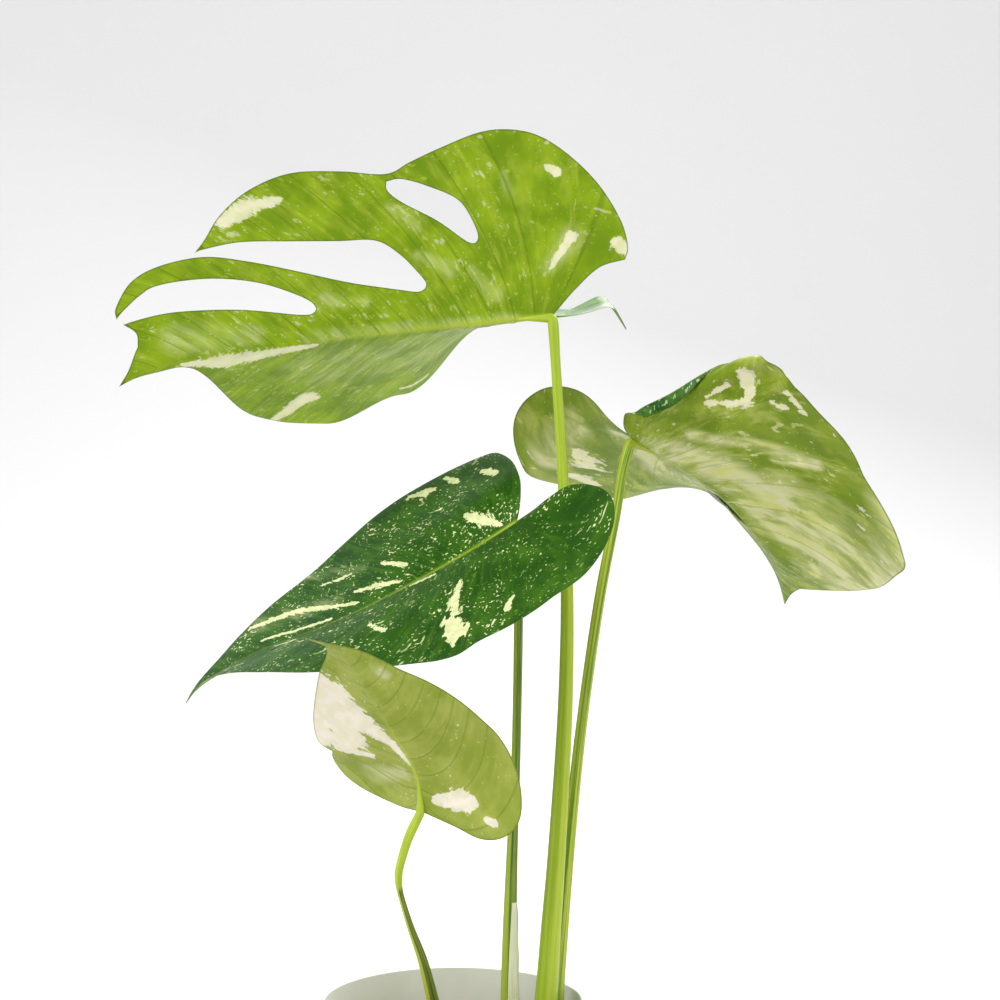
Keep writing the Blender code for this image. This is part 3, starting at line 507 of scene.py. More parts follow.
def leaf_paint(name, look):
    """One side of a blade: streaked green, pale bands (partly the leaf's own, partly painted sheen), veins, specks
    and cream patches, midrib, darker margin.
    """
    paint = Paint(name)
    times = paint.times
    plus = paint.plus
    look = shader_colours(look)
    along, out, edge = paint.parts(paint.attribute("leaf_place")[1])[:3]
    turn, reach, spread = paint.parts(paint.attribute("leaf_vein")[1])[:3]
    flat = paint.vector(along, out, 0.0)
    streak_place = paint.vector(times(turn, look["streak"]), times(reach, 0.045), times(out, 0.02))
    cloud = paint.noise(flat, 0.04, 3.0, 0.6)
    streak = paint.noise(streak_place, 1.0, 4.0, 0.6, 0.25)
    colour = paint.mix(paint.step(cloud, 0.38, 0.62), look["deep"], look["base"])
    colour = paint.mix(paint.step(streak, 0.46, 0.70, 0.0, look["contrast"]), colour, look["light"])
    colour = paint.mix(paint.step(streak, 0.50, 0.34, 0.0, look["contrast"]), colour, look["deep"])

    # Soft pale bands that follow the veins: partly the leaf's own pale streaks, partly painted whitish sheen.
    band_place = paint.vector(times(turn, look["streak"] * 0.45), times(reach, 0.025), times(out, 0.015))
    band = paint.step(paint.noise(band_place, 1.0, 4.0, 0.6), 0.41, 0.57)
    pale = times(paint.attribute("pale")[2], plus(times(band, 0.7), 0.3))
    pale_and_sheen_colour = paint.mix(paint.step(streak, 0.35, 0.60, 0.15, 0.60), look["light"], look["cream"])
    colour = paint.mix(times(pale, look["wash"]), colour, pale_and_sheen_colour)

    # Side veins, then specks and dashes, then the larger cream patches.
    nearest = times(paint.math("PINGPONG", turn, 0.5), spread)
    line = paint.step(nearest, 0.60, 0.10, 0.0, look["veins"])
    colour = paint.mix(line, colour, look["vein"])
    crowd = paint.noise(flat, 0.05, 2.0, 0.5)
    dot_level = plus(paint.noise(flat, 0.52, 1.0, 0.5), times(crowd, 0.28))
    dots = paint.step(dot_level, look["specks"] + 0.19, look["specks"] + 0.22)
    dash_place = paint.vector(times(turn, 6.0), times(reach, 0.15), times(out, 0.05))
    dash_level = plus(paint.noise(dash_place, 1.0, 2.0, 0.5), times(crowd, 0.28))
    dashes = paint.step(dash_level, look["dashes"] + 0.19, look["dashes"] + 0.22)
    speck_colour = paint.mix(paint.step(cloud, 0.40, 0.60), look["light"], look["cream"])
    colour = paint.mix(times(paint.math("MAXIMUM", dots, dashes), look["fleck"]), colour, speck_colour)
    torn = paint.vector(times(turn, look["streak"] * 1.6), times(reach, 0.11), times(out, 0.03))
    shreds = times(paint.noise(torn, 1.0, 3.0, 0.65), 1.7)
    nibbles = times(paint.noise(flat, 0.30, 4.0, 0.7), 1.1)
    ragged = plus(times(plus(plus(shreds, nibbles), -1.40), look["torn"]), 0.88)
    patch_level = plus(paint.attribute("cream")[2], ragged)
    patch = paint.step(patch_level, 1.33, 1.38, 0.0, look["solid"])
    tone_place = paint.noise(flat, 0.16, 2.0, 0.5)
    dull_cream = paint.mix(0.18, look["cream"], look["light"])
    tone = paint.mix(paint.step(tone_place, 0.40, 0.60), dull_cream, look["cream"])
    colour = paint.mix(patch, colour, tone)

    # Midrib and margin.
    colour = paint.mix(times(paint.attribute("rib")[2], 0.85), colour, look["rib"])
    colour = paint.mix(paint.step(edge, 0.9, 0.2, 0.0, 0.65), colour, look["edge"])
    grain = paint.noise(flat, 1.6, 2.0)
    paint.surface(colour, paint.step(grain, 0.3, 0.7, look["rough"] - 0.05, look["rough"] + 0.08), 0.18)
    fine = paint.step(times(paint.math("PINGPONG", times(turn, 6.0), 0.5), spread), 0.0, 1.2)
    paint.bump(plus(fine, times(grain, 0.8)), 0.00012, 0.5)
    paint.let_light_through(colour, look["glow"])
    return paint.material


def stalk_paint(name, base, stripe_and_highlight, dark, tip, contrast, tip_start, pale, lit_side):
    """A leaf stalk: long fine stripes, a painted highlight as a broad pale band on the given lit side, and another
    green on its top.
    """
    paint = Paint(name)
    around, height, share = paint.parts(paint.attribute("stalk_place")[1])[:3]
    turn = paint.times(around, math.tau)
    side = paint.math("COSINE", turn)
    depth = paint.math("SINE", turn)
    ring = paint.vector(paint.times(side, 1.6), paint.times(depth, 1.6), paint.times(height, 0.005))
    stripes = paint.noise(ring, 1.3, 3.0, 0.6)
    colour = paint.mix(paint.step(stripes, 0.44, 0.60, 0.0, contrast), base, stripe_and_highlight)
    colour = paint.mix(paint.step(stripes, 0.46, 0.34, 0.0, contrast), colour, dark)
    grain_place = paint.vector(paint.times(around, 60.0), paint.times(height, 0.05), 0.0)
    long_grain = paint.noise(grain_place, 0.8, 3.0)
    colour = paint.mix(paint.step(long_grain, 0.50, 0.72, 0.0, 0.35), colour, stripe_and_highlight)
    # Painted highlight: a broad pale band on the side of the stalk that faces the camera and a light, as strong as
    # pale.
    toward_light = paint.plus(paint.times(side, lit_side * 0.72), paint.times(depth, -0.69))
    colour = paint.mix(paint.step(toward_light, 0.76, 0.90, 0.0, pale), colour, stripe_and_highlight)
    tip_place = paint.plus(share, paint.times(long_grain, 0.03))
    tip_share = paint.step(tip_place, tip_start, tip_start + 0.03)
    colour = paint.mix(tip_share, colour, paint.mix(paint.step(long_grain, 0.4, 0.7), tip, stripe_and_highlight))
    paint.surface(colour, paint.step(long_grain, 0.3, 0.7, 0.34, 0.46), 0.25)
    paint.bump(paint.plus(stripes, paint.times(long_grain, 0.4)), 0.0003, 0.5)
    paint.shader.inputs["Subsurface Weight"].default_value = 0.12
    paint.shader.inputs["Subsurface Radius"].default_value = (0.5, 1.0, 0.2)
    paint.shader.inputs["Subsurface Scale"].default_value = 0.002
    return paint.material


def sheath_paint():
    """Papery sheath: pale cream-green, streaked lengthwise, greener towards its back edge."""
    paint = Paint("leaf_sheath")
    around, height = paint.parts(paint.attribute("stalk_place")[1])[:2]
    streak_place = paint.vector(paint.times(around, 14.0), paint.times(height, 0.02), 0.0)
    streaks = paint.noise(streak_place, 1.0, 3.0, 0.6)
    colour = paint.mix(paint.step(streaks, 0.35, 0.65), rgb(226, 230, 190), rgb(248, 248, 232))
    colour = paint.mix(paint.step(around, 0.60, 0.95, 0.0, 0.7), colour, rgb(140, 172, 84))
    paint.surface(colour, paint.step(streaks, 0.3, 0.7, 0.45, 0.6), 0.4)
    paint.bump(streaks, 0.0003, 0.5)
    paint.let_light_through(colour, 0.5)
    return paint.material


def stem_paint():
    """Knuckled stem: green skin that turns to brown bark in patches and at its rings."""
    paint = Paint("stem_skin")
    ring = paint.parts(paint.attribute("stalk_place")[1])[2]
    bark = object_noise(paint, 90.0, 5.0, 0.65)
    colour = paint.mix(paint.step(bark, 0.42, 0.60), rgb(92, 124, 52), rgb(124, 112, 66))
    colour = paint.mix(paint.step(ring, 0.55, 0.95, 0.0, 0.8), colour, rgb(108, 88, 58))
    paint.surface(colour, paint.step(bark, 0.3, 0.7, 0.5, 0.75), 0.35)
    paint.bump(object_noise(paint, 420.0, 4.0), 0.0005, 0.6)
    return paint.material


def object_noise(paint, scale, detail=3.0, roughness=0.55):
    coordinates = paint.tree.nodes.new("ShaderNodeTexCoord")
    return paint.noise(coordinates.outputs["Object"], scale, detail, roughness)


def plastic_paint():
    paint = Paint("pot_plastic")
    cloud = object_noise(paint, 30.0)
    colour = paint.mix(paint.step(cloud, 0.3, 0.7), rgb(206, 209, 196), rgb(214, 217, 205))
    paint.surface(colour, paint.step(object_noise(paint, 90.0), 0.3, 0.7, 0.34, 0.44), 0.5)
    paint.bump(object_noise(paint, 900.0, 2.0), 0.00004, 0.4)
    return paint.material


def soil_paint(name, dark, light, scale, rough=0.95):
    paint = Paint(name)
    colour = paint.mix(paint.step(object_noise(paint, scale), 0.35, 0.65), dark, light)
    paint.surface(colour, paint.step(object_noise(paint, scale * 3), 0.3, 0.7, rough - 0.12, rough), 0.25)
    paint.bump(object_noise(paint, scale * 4, 4.0), 0.0006, 0.7)
    return paint.material


# ----------------------------------------------------------------------------------------------------
# Leaf blades

class Blade:
    """A flat leaf bent in space. Flat places are millimetres; places in space are metres."""

    def __init__(self, leaf):
        self.leaf = leaf
        self.base = CROWN + np.array(leaf["base"]) * MM
        heading, pitch, roll = (math.radians(leaf[key]) for key in ("heading", "pitch", "roll"))
        self.forward = np.array([math.cos(heading) * math.cos(pitch), math.sin(heading) * math.cos(pitch),
                                 math.sin(pitch)])
        level = np.array([-math.sin(pitch) * math.cos(heading), -math.sin(pitch) * math.sin(heading),
                          math.cos(pitch)])
        across = np.cross(level, self.forward)
        self.left = across * math.cos(roll) + level * math.sin(roll)
        self.normal = level * math.cos(roll) - across * math.sin(roll)
        self.stations = np.arange(-60, leaf["length"] + 12)
        steps = self.frame(self.stations[:-1] + 0.5)[0] * MM
        spine = np.concatenate([np.zeros((1, 3)), np.cumsum(steps, axis=0)])
        self.spine = spine - spine[60] + self.base

    def frame(self, along):
        """Directions at places on the midrib: to the tip, to the left margin, and out of the upper side."""
        droop = np.radians(eased(self.leaf["droop"], along))
        sweep = np.radians(eased(self.leaf["sweep"], along))
        down = self.forward * np.cos(droop) - self.normal * np.sin(droop)
        out = self.forward * np.sin(droop) + self.normal * np.cos(droop)
        ahead = down * np.cos(sweep) + self.left * np.sin(sweep)
        left = self.left * np.cos(sweep) - down * np.sin(sweep)
        return ahead, left, out

    def midrib(self, along):
        return np.stack([np.interp(along, self.stations, self.spine[:, k]) for k in range(3)], 1)

    def place(self, along, out):
        """Points in space of flat points; out is positive on the left half and negative on the right."""
        _, left, normal = self.frame(along)
        side = np.where(out >= 0, 1.0, -1.0)[:, None]
        rises = np.where(side > 0, eased(self.leaf["rise_left"], along), eased(self.leaf["rise_right"], along))
        near, middle, far = rises[:, 0], rises[:, 1], rises[:, 2]
        steps = 30
        stride = np.abs(out) / steps
        point = self.midrib(along)
        for k in range(steps):
            walked = stride * (k + 0.5)
            share = walked / self.leaf["half_width"] * 2
            rise = np.where(share < 1, near + (middle - near) * share, middle + (far - middle) * (share - 1))
            angle = np.radians(rise * (1 - np.exp(-walked / CREASE_WIDTH)))[:, None]
            point = point + (left * side * np.cos(angle) + normal * np.sin(angle)) * stride[:, None] * MM
        return point


def margin(leaf, spacing):
    """The leaf's flat outline: up the left side to the tip and back down the right side."""
    outline = [evenly(smooth_curve(run, 8), spacing)[:-1] for run in leaf["left"]]
    back = [evenly(smooth_curve([(a, -o) for a, o in run], 8), spacing)[:-1] for run in leaf["right"]]
    back = np.concatenate(back)
    return np.concatenate(outline + [np.array([[leaf["length"], 0.0]]), back[:0:-1]])


def inside(points, outline):
    odd = np.zeros(len(points), bool)
    x, y = points[:, 0], points[:, 1]
    for (ax, ay), (bx, by) in zip(outline, np.roll(outline, -1, axis=0)):
        if ay != by:
            odd ^= ((ay > y) != (by > y)) & (x < ax + (y - ay) * (bx - ax) / (by - ay))
    return odd


def distance_to(points, outline):
    best = np.full(len(points), np.inf)
    for a, b in zip(outline, np.roll(outline, -1, axis=0)):
        run = b - a
        share = np.clip((points - a) @ run / max(run @ run, 1e-9), 0, 1)
        best = np.minimum(best, np.linalg.norm(points - a - share[:, None] * run, axis=1))
    return best


def flat_sheet(leaf, grid):
    """Flat points, triangles and boundary loops that fill the outline, with points along the midrib."""
    loops = [margin(leaf, grid * 0.8)]
    if "hole" in leaf:
        loops.append(evenly(smooth_curve(leaf["hole"] + leaf["hole"][:1], 8), grid * 0.8)[:-1])
    rows = []
    half = round(leaf["half_width"] * 1.4 / (grid * 0.87))
    for row in range(-half, half + 1):
        along = np.arange(-50, leaf["length"], grid) + (grid / 2 if row % 2 else 0)
        rows.append(np.stack([along, np.full(len(along), row * grid * 0.87)], 1))
    grid_points = np.concatenate(rows)
    grid_points = grid_points[inside(grid_points, loops[0])]
    if len(loops) > 1:
        grid_points = grid_points[~inside(grid_points, loops[1])]
    nearest = np.min([distance_to(grid_points, loop) for loop in loops], axis=0)
    grid_points = grid_points[nearest > grid * 0.5]
    points = np.concatenate(loops + [grid_points])
    edges = []
    start = 0
    for loop in loops:
        edges += [(start + k, start + (k + 1) % len(loop)) for k in range(len(loop))]
        start += len(loop)
    made = delaunay_2d_cdt([Vector(p) for p in points], edges, [], 0, 1e-4)
    flat = np.array([tuple(p) for p in made[0]])
    triangles = np.array([tuple(t) for t in made[2]])
    centres = flat[triangles].mean(axis=1)
    keep = inside(centres, loops[0])
    if len(loops) > 1:
        keep &= ~inside(centres, loops[1])
    return flat, triangles[keep], loops


def vein_place(leaf, along, out):
    """For flat points: which side vein runs there (a whole number on a vein), and how far out along it."""
    length = leaf["length"]
    angles = [(-3, 172), (-1, 150), (3, 116), (12, 90), (30, 72), (80, 56), (length, 40)]
    angles = [(place, min(angle + leaf.get("vein_turn", 0), 174)) for place, angle in angles]
    away = np.abs(out)
    low = np.full(len(along), -3.0)
    high = np.full(len(along), length + 60.0)
    for _ in range(26):
        start = (low + high) / 2
        lean = 1 / np.tan(np.radians(eased(angles, start)[:, 0]))
        over = start + away * lean + leaf["vein_bend"] * away ** 2 > along
        high = np.where(over, start, high)
        low = np.where(over, low, start)
    start = (low + high) / 2
    turn = leaf["side_veins"] * ((start + 3.001) / (length + 3)) ** (1 / 1.45)
    return turn, np.hypot(along - start, away)


def strokes(marks, flat):
    """A soft field around strokes: one in their middle, a half at their stated radius, nothing far away."""
    field = np.zeros(len(flat))
    for a1, o1, r1, a2, o2, r2 in marks:
        start, run = np.array([a1, o1]), np.array([a2 - a1, o2 - o1])
        share = np.clip((flat - start) @ run / (run @ run), 0, 1)
        gap = np.linalg.norm(flat - start - share[:, None] * run, axis=1)
        field = np.maximum(field, 1 - gap / (2 * (r1 + (r2 - r1) * share)))
    return field


def vertex_normals(points, triangles):
    a, b, c = (points[triangles[:, k]] for k in range(3))
    across = np.cross(b - a, c - a)
    normals = np.zeros_like(points)
    for k in range(3):
        np.add.at(normals, triangles[:, k], across)
    return unit(normals)


def roll_margin(blade, loops, flat, edge, points, normals):
    """Rolls a stretch of the right half's rear margin over towards the under side."""
    rolled = blade.leaf["rolled"]
    along, out = flat[:, 0], flat[:, 1]
    begin, full, fading, gone = rolled["outs"]
    share = smoothstep(-out, begin, full) * (1 - smoothstep(-out, fading, gone)) * (1 - smoothstep(along, 0, 12))
    past = np.maximum(rolled["width"] * share - edge, 0)
    step = 0.5

    def changes(shift):
        moved = flat + shift
        gap = np.min([distance_to(moved, loop) for loop in loops], axis=0)
        sign = np.where(inside(moved, loops[0]), 1, -1)
        return (gap * sign - edge) / step, (blade.place(moved[:, 0], moved[:, 1]) - points) / step

    edge_along, run_along = changes(np.array([step, 0.0]))
    edge_out, run_out = changes(np.array([0.0, step]))
    outward = unit(-(edge_along[:, None] * run_along + edge_out[:, None] * run_out))
    radius = rolled["radius"]
    angle = past / radius
    over = radius * np.sin(angle) - past
    under = radius * (1 - np.cos(angle))
    return points + (outward * over[:, None] - normals * under[:, None]) * MM


def lift_crest(crest, along, out, points):
    """Raises the blade round one flat place."""
    away = np.hypot(along - crest["along"], out - crest["out"]) / crest["reach"]
    return points + np.array([0, 0, crest["height"] * MM]) * np.exp(-away ** 2)[:, None]


def hang_lobe(blade, along, out, points):
    """Lowers the right half's rear lobe at its back and bends the lobe's end down."""
    hanging = blade.leaf["hanging"]
    side = smoothstep(-out, 2, 14)
    sink = hanging["sink"] * smoothstep(-out, 12, 60) * smoothstep(-along, 0, 16)
    past = np.maximum(hanging["start"] - along, 0) * side
    angle = np.minimum(past / hanging["radius"], math.radians(hanging["turn"]))
    straight = past - angle * hanging["radius"]
    back = hanging["radius"] * np.sin(angle) + straight * np.cos(angle) - past
    down = hanging["radius"] * (1 - np.cos(angle)) + straight * np.sin(angle) + sink
    return points - (blade.forward * back[:, None] + np.array([0, 0, 1]) * down[:, None]) * MM


def lay_out_flat(piece, leaf, along, out):
    """UVs with both sides flat, one beside the other; the margin's thin wall stretches across from one to the
    other.
    """
    layer = piece.data.uv_layers.new(name="OFBake")
    corner = np.zeros(len(piece.data.loops), np.int32)
    piece.data.loops.foreach_get("vertex_index", corner)
    u = (along + 60) / (leaf["length"] + 80)
    v = (out + leaf["half_width"] * 1.2) / (leaf["half_width"] * 2.4) * 0.48
    uv = np.stack([np.tile(u, 2), np.concatenate([v + 0.01, v + 0.51])], 1)[corner]
    layer.data.foreach_set("uv", uv.astype(np.float32).ravel())


def blade_piece(name, leaf):
    """A thin blade with a raised midrib and side veins below, sunken ones above, and puffed leaf between them."""
    blade = Blade(leaf)
    flat, triangles, loops = flat_sheet(leaf, BLADE_GRID)
    along, out = flat[:, 0], flat[:, 1]
    edge = np.min([distance_to(flat, loop) for loop in loops], axis=0)
    middle = blade.place(along, out)
    normals = vertex_normals(middle, triangles)
    if (normals @ blade.normal).mean() < 0:
        normals = -normals
        triangles = triangles[:, ::-1]
    if "crest" in leaf:
        middle = lift_crest(leaf["crest"], along, out, middle)
        normals = vertex_normals(middle, triangles)
    if "hanging" in leaf:
        middle = hang_lobe(blade, along, out, middle)
        normals = vertex_normals(middle, triangles)
    if "rolled" in leaf:
        middle = roll_margin(blade, loops, flat, edge, middle, normals)
        normals = vertex_normals(middle, triangles)

    turn, reach = vein_place(leaf, along, out)
    turn_on, _ = vein_place(leaf, along + 0.4, out)
    turn_out, _ = vein_place(leaf, along, np.where(out >= 0, out + 0.4, out - 0.4))
    spread = 1 / np.maximum(np.hypot(turn_on - turn, turn_out - turn) / 0.4, 0.01)
    spread = np.minimum(spread, 25)
    to_vein = np.abs(turn - np.round(turn)) * spread
    fade = smoothstep(edge, 0.5, 7) * smoothstep(reach, 2, 12)
    puff = (np.abs(turn - np.round(turn)) * 2) ** 0.8
    wide, narrow = leaf["rib"]
    rib_width = wide + (narrow - wide) * np.clip(along / leaf["length"], 0, 1)
    rib = np.exp(-(out / rib_width) ** 2) * smoothstep(along, -3, 3) * smoothstep(edge, 0, 1.5)
    swell = 0.35 * waves(np.stack([along, out, along * 0], 1), 26, leaf["length"]) * fade
    middle = middle + normals * ((0.32 * puff * fade + swell) * MM)[:, None]
    vein_ridge = np.exp(-(to_vein / 0.8) ** 2) * fade
    half = MARGIN_HALF_THICKNESS + (BLADE_HALF_THICKNESS - MARGIN_HALF_THICKNESS) * smoothstep(edge, 0, 2)
    above = half - 0.12 * vein_ridge - 0.25 * rib * rib_width / wide
    below = half + 0.22 * vein_ridge + 0.75 * rib * rib_width / wide
    top = middle + normals * (above * MM)[:, None]
    bottom = middle - normals * (below * MM)[:, None]
    count = len(flat)
    faces = triangles.tolist() + (triangles[:, ::-1] + count).tolist()
    slots = [0] * len(triangles) + [1] * len(triangles)
    directed = {}
    for t in triangles.tolist():
        for p, q in ((t[0], t[1]), (t[1], t[2]), (t[2], t[0])):
            directed[(p, q)] = True
    for p, q in directed:
        if (q, p) not in directed:
            faces.append((q, p, p + count, q + count))
            slots.append(1)
    looks = LOOKS[name]
    finishes = [leaf_paint(name + "_upper", looks["upper"]), leaf_paint(name + "_under", looks["under"])]
    piece = new_object(name + "_blade_live", np.concatenate([top, bottom]), faces, finishes, slots)
    piece.data.set_sharp_from_angle(angle=math.radians(50))
    add_attribute(piece, "leaf_place", np.tile(np.stack([along, out, edge], 1), (2, 1)))
    add_attribute(piece, "leaf_vein", np.tile(np.stack([turn, reach, spread], 1), (2, 1)))
    add_attribute(piece, "cream", np.tile(strokes(leaf["marks"], flat), 2))
    # Pale bands for the materials: partly the leaf's own pale streaks, partly painted whitish sheen.
    add_attribute(piece, "pale", np.tile(np.clip(strokes(leaf["pale"], flat) * 1.6, 0, 1), 2))
    rib_show = np.exp(-(out / (rib_width * 0.9)) ** 4) * smoothstep(along, -4, 2)
    rib_show = rib_show * (1 - 0.75 * smoothstep(along / leaf["length"], 0.15, 0.6))
    add_attribute(piece, "rib", np.tile(rib_show, 2))
    lay_out_flat(piece, leaf, along, out)
    return piece


# ----------------------------------------------------------------------------------------------------
# Leaf stalks, sheath and stem

def stalk_line(leaf):
    """The stalk's centre line with radii in metres; it bends over at its top and runs out along the midrib."""
    blade = Blade(leaf)
    points = [tuple(CROWN + np.array(p[:3]) * MM) + (p[3] * MM,) for p in leaf["stalk"]]
    radius = points[-1][3]
    for along, depth, share in STALK_RUN_OUT:
        _, _, normal = blade.frame(np.array([along]))
        spot = blade.midrib(np.array([along]))[0] - normal[0] * (radius * depth)
        points.append((*spot, radius * share))
    return evenly(smooth_curve(points, 10), STALK_SPACING)


def stalk_piece(name, leaf, finish):
    line = stalk_line(leaf)
    across, up = ring_frames(line[:, :3])
    run = np.concatenate([[0], np.cumsum(np.linalg.norm(np.diff(line[:, :3], axis=0), axis=1))])
    share = run / run[-1]
    turns = np.arange(STALK_SIDES) / STALK_SIDES * math.tau
    verts, places = [], []
    for k in range(len(line)):
        swell = 1 + 0.10 * math.exp(-((run[-1] - run[k] - 30 * MM) / (9 * MM)) ** 2)
        for turn in turns:
            flute = 1 + 0.012 * math.cos(turn * 9 + 0.6) + 0.01 * math.cos(turn * 5 + share[k] * 3)
            groove = 1 - 0.10 * math.exp(-((turn - 4.4) / 0.28) ** 2) * (1 - share[k])
            reach = line[k, 3] * swell * flute * groove
            verts.append(line[k, :3] + (across[k] * math.cos(turn) + up[k] * math.sin(turn)) * reach)
            places.append((turn / math.tau, run[k] / MM, share[k]))
    piece = new_object(name + "_petiole_live", verts, capped_tube_faces(len(line), STALK_SIDES), [finish])
    add_attribute(piece, "stalk_place", places)
    return piece


def sheath_piece(leaf):
    """A papery wing round the right side of the dark leaf's stalk foot, its front edge standing a little away."""
    line = stalk_line(leaf)
    line = line[line[:, 2] < MIX_TOP + SHEATH_HEIGHT]
    line = line[line[:, 2] > MIX_TOP + STEM_RADIUS - STEM_AXIS_BELOW_MIX - 3 * MM]
    across, up = ring_frames(line[:, :3])
    columns = SHEATH_COLUMNS
    verts, places = [], []
    for side in (0, 1):
        for k in range(len(line)):
            share = k / (len(line) - 1)
            narrowing = 1 - share ** 3
            for column in range(columns + 1):
                place = column / columns
                turn = math.radians(-70 + (-25 + 120 * place) * (0.35 + 0.65 * narrowing))
                wing = SHEATH_WING * narrowing * max(0.0, 1 - place * 4) ** 2
                ripple = 0.25 * MM * math.sin(share * 17 + place * 5) * place
                reach = line[k, 3] + 0.35 * MM + wing + ripple * narrowing + side * SHEATH_THICKNESS
                verts.append(line[k, :3] + (across[k] * math.cos(turn) + up[k] * math.sin(turn)) * reach)
                places.append((place, (line[k, 2] - MIX_TOP) / MM, share))
    row = columns + 1
    size = len(line) * row
    faces = []
    for k in range(len(line) - 1):
        for column in range(columns):
            a = k * row + column
            faces.append((a, a + row, a + row + 1, a + 1))
            faces.append((size + a, size + a + 1, size + a + row + 1, size + a + row))
        for a, flip in ((k * row, False), (k * row + columns, True)):
            quad = (a, size + a, size + a + row, a + row)
            faces.append(quad[::-1] if flip else quad)
    for start, flip in ((0, True), ((len(line) - 1) * row, False)):
        for column in range(columns):
            a = start + column
            quad = (a, size + a, size + a + 1, a + 1)
            faces.append(quad[::-1] if flip else quad)
    piece = new_object("dark_leaf_sheath_live", verts, faces, [sheath_paint()])
    piece.data.set_sharp_from_angle(angle=math.radians(50))
    add_attribute(piece, "stalk_place", places)
    return piece


def stem_piece():
    """The short thick stem, with rings at its knuckles, rounded ends and a slightly uneven skin."""
    rings, sides = 110, 40
    knuckles = (-0.78, -0.5, -0.16, 0.2, 0.52, 0.84)
    verts, places = [], []
    for k in range(rings + 1):
        share = -1 + 2 * k / rings
        round_off = math.sqrt(max(0.0, 1 - abs(share) ** 5))
        ring = max(math.exp(-((share - spot) / 0.022) ** 2) for spot in knuckles)
        swell = max(math.exp(-((share - spot) / 0.10) ** 2) for spot in knuckles)
        radius = max(STEM_RADIUS * round_off * (0.93 + 0.07 * swell - 0.03 * ring), 1.0 * MM)
        for side in range(sides):
            turn = math.tau * side / sides
            spot = Vector((share * 4, math.cos(turn) * 1.2, math.sin(turn) * 1.2))
            reach = radius * (1 + 0.035 * noise.noise(spot * 1.4))
            verts.append((CROWN[0] + share * STEM_LENGTH / 2, math.cos(turn) * reach,
                          MIX_TOP - STEM_AXIS_BELOW_MIX + math.sin(turn) * reach))
            places.append((side / sides, share, ring))
    piece = new_object("stem_live", verts, capped_tube_faces(rings + 1, sides), [stem_paint()])
    add_attribute(piece, "stalk_place", places)
    return piece


def lathe_faces(rings, sides):
    """Faces of a turned solid whose first and last points lie on the axis."""
    faces = []
    for k in range(sides):
        nxt = (k + 1) % sides
        faces.append((0, 1 + nxt, 1 + k))
        for ring in range(rings - 1):
            low = 1 + ring * sides
            faces.append((low + k, low + nxt, low + sides + nxt, low + sides + k))
        top = 1 + (rings - 1) * sides
        faces.append((1 + rings * sides, top + k, top + nxt))
    return faces


def lathe(name, profile, sides, finish):
    """A solid turned about +Z from (radius, height) points that start and end on the axis."""
    verts = [(0, 0, profile[0][1])]
    for radius, height in profile[1:-1]:
        verts += [(radius * math.cos(math.tau * k / sides), radius * math.sin(math.tau * k / sides), height)
                  for k in range(sides)]
    verts.append((0, 0, profile[-1][1]))
    return new_object(name, verts, lathe_faces(len(profile) - 2, sides), [finish])


def arc(centre, radius, start, end, count):
    """(radius, height) points on a circular arc of a profile; angles in degrees from straight outwards."""
    turns = [math.radians(start + (end - start) * k / count) for k in range(count + 1)]
    return [(centre[0] + radius * math.cos(t), centre[1] + radius * math.sin(t)) for t in turns]


def drain_cutter(number, finish):
    """A cylinder through the pot's floor where one drain hole goes."""
    turn = math.tau * number / DRAIN_HOLES + math.radians(DRAIN_HOLE_TURN)
    x, y = math.cos(turn) * DRAIN_HOLE_CIRCLE / 2, math.sin(turn) * DRAIN_HOLE_CIRCLE / 2
    sides = DRAIN_CUTTER_SIDES
    verts = [(x + math.cos(math.tau * i / sides) * DRAIN_HOLE_DIAMETER / 2,
              y + math.sin(math.tau * i / sides) * DRAIN_HOLE_DIAMETER / 2, z)
             for z in (-DRAIN_CUTTER_OVERSHOOT, POT_FLOOR + DRAIN_CUTTER_OVERSHOOT) for i in range(sides)]
    return new_object("drain_cutter_%d" % number, verts, capped_tube_faces(2, sides), [finish])


def pot_piece():
    """Thin tapered nursery pot with a rounded rim band, a turned-in foot and six drain holes."""
    finish = plastic_paint()
    foot = 3 * MM
    bead = POT_RIM_BEAD
    bead_low = POT_HEIGHT - POT_RIM_BEAD_HEIGHT
    inner = [pot_outer_radius(z) - POT_WALL for z in (POT_HEIGHT, POT_FLOOR + foot)]
    profile = [(0, 0)]
    profile += arc((pot_outer_radius(0) - foot, foot), foot, -90, -4, 6)
    profile += [(pot_outer_radius(z), z) for z in np.linspace(foot * 2, bead_low - bead, 12)]
    profile += arc((pot_outer_radius(bead_low), bead_low), bead, -70, 0, 4)
    profile += arc((pot_outer_radius(POT_HEIGHT) - bead * 0.6, POT_HEIGHT - bead * 1.5), bead * 1.5, 0, 90, 7)
    profile += arc((inner[0] + bead * 0.5, POT_HEIGHT - bead * 0.5), bead * 0.5, 100, 180, 4)
    profile += [(pot_outer_radius(z) - POT_WALL, z) for z in np.linspace(POT_HEIGHT - bead * 2, foot * 2, 12)]
    profile += arc((inner[1] - foot, POT_FLOOR + foot), foot, 0, -90, 5)
    profile.append((0, POT_FLOOR))
    pot = lathe("pot_live", profile, POT_SIDES, finish)
    cutters = [drain_cutter(k, finish) for k in range(DRAIN_HOLES)]
    for k, cutter in enumerate(cutters):
        hole = pot.modifiers.new("hole_%d" % k, "BOOLEAN")
        hole.operation = "DIFFERENCE"
        hole.solver = "EXACT"
        hole.object = cutter
    graph = bpy.context.evaluated_depsgraph_get()
    cut = bpy.data.meshes.new_from_object(pot.evaluated_get(graph))
    pot.modifiers.clear()
    pot.data = cut
    for cutter in cutters:
        bpy.data.objects.remove(cutter)
    pot.data.shade_smooth()
    pot.data.set_sharp_from_angle(angle=math.radians(45))
    return pot


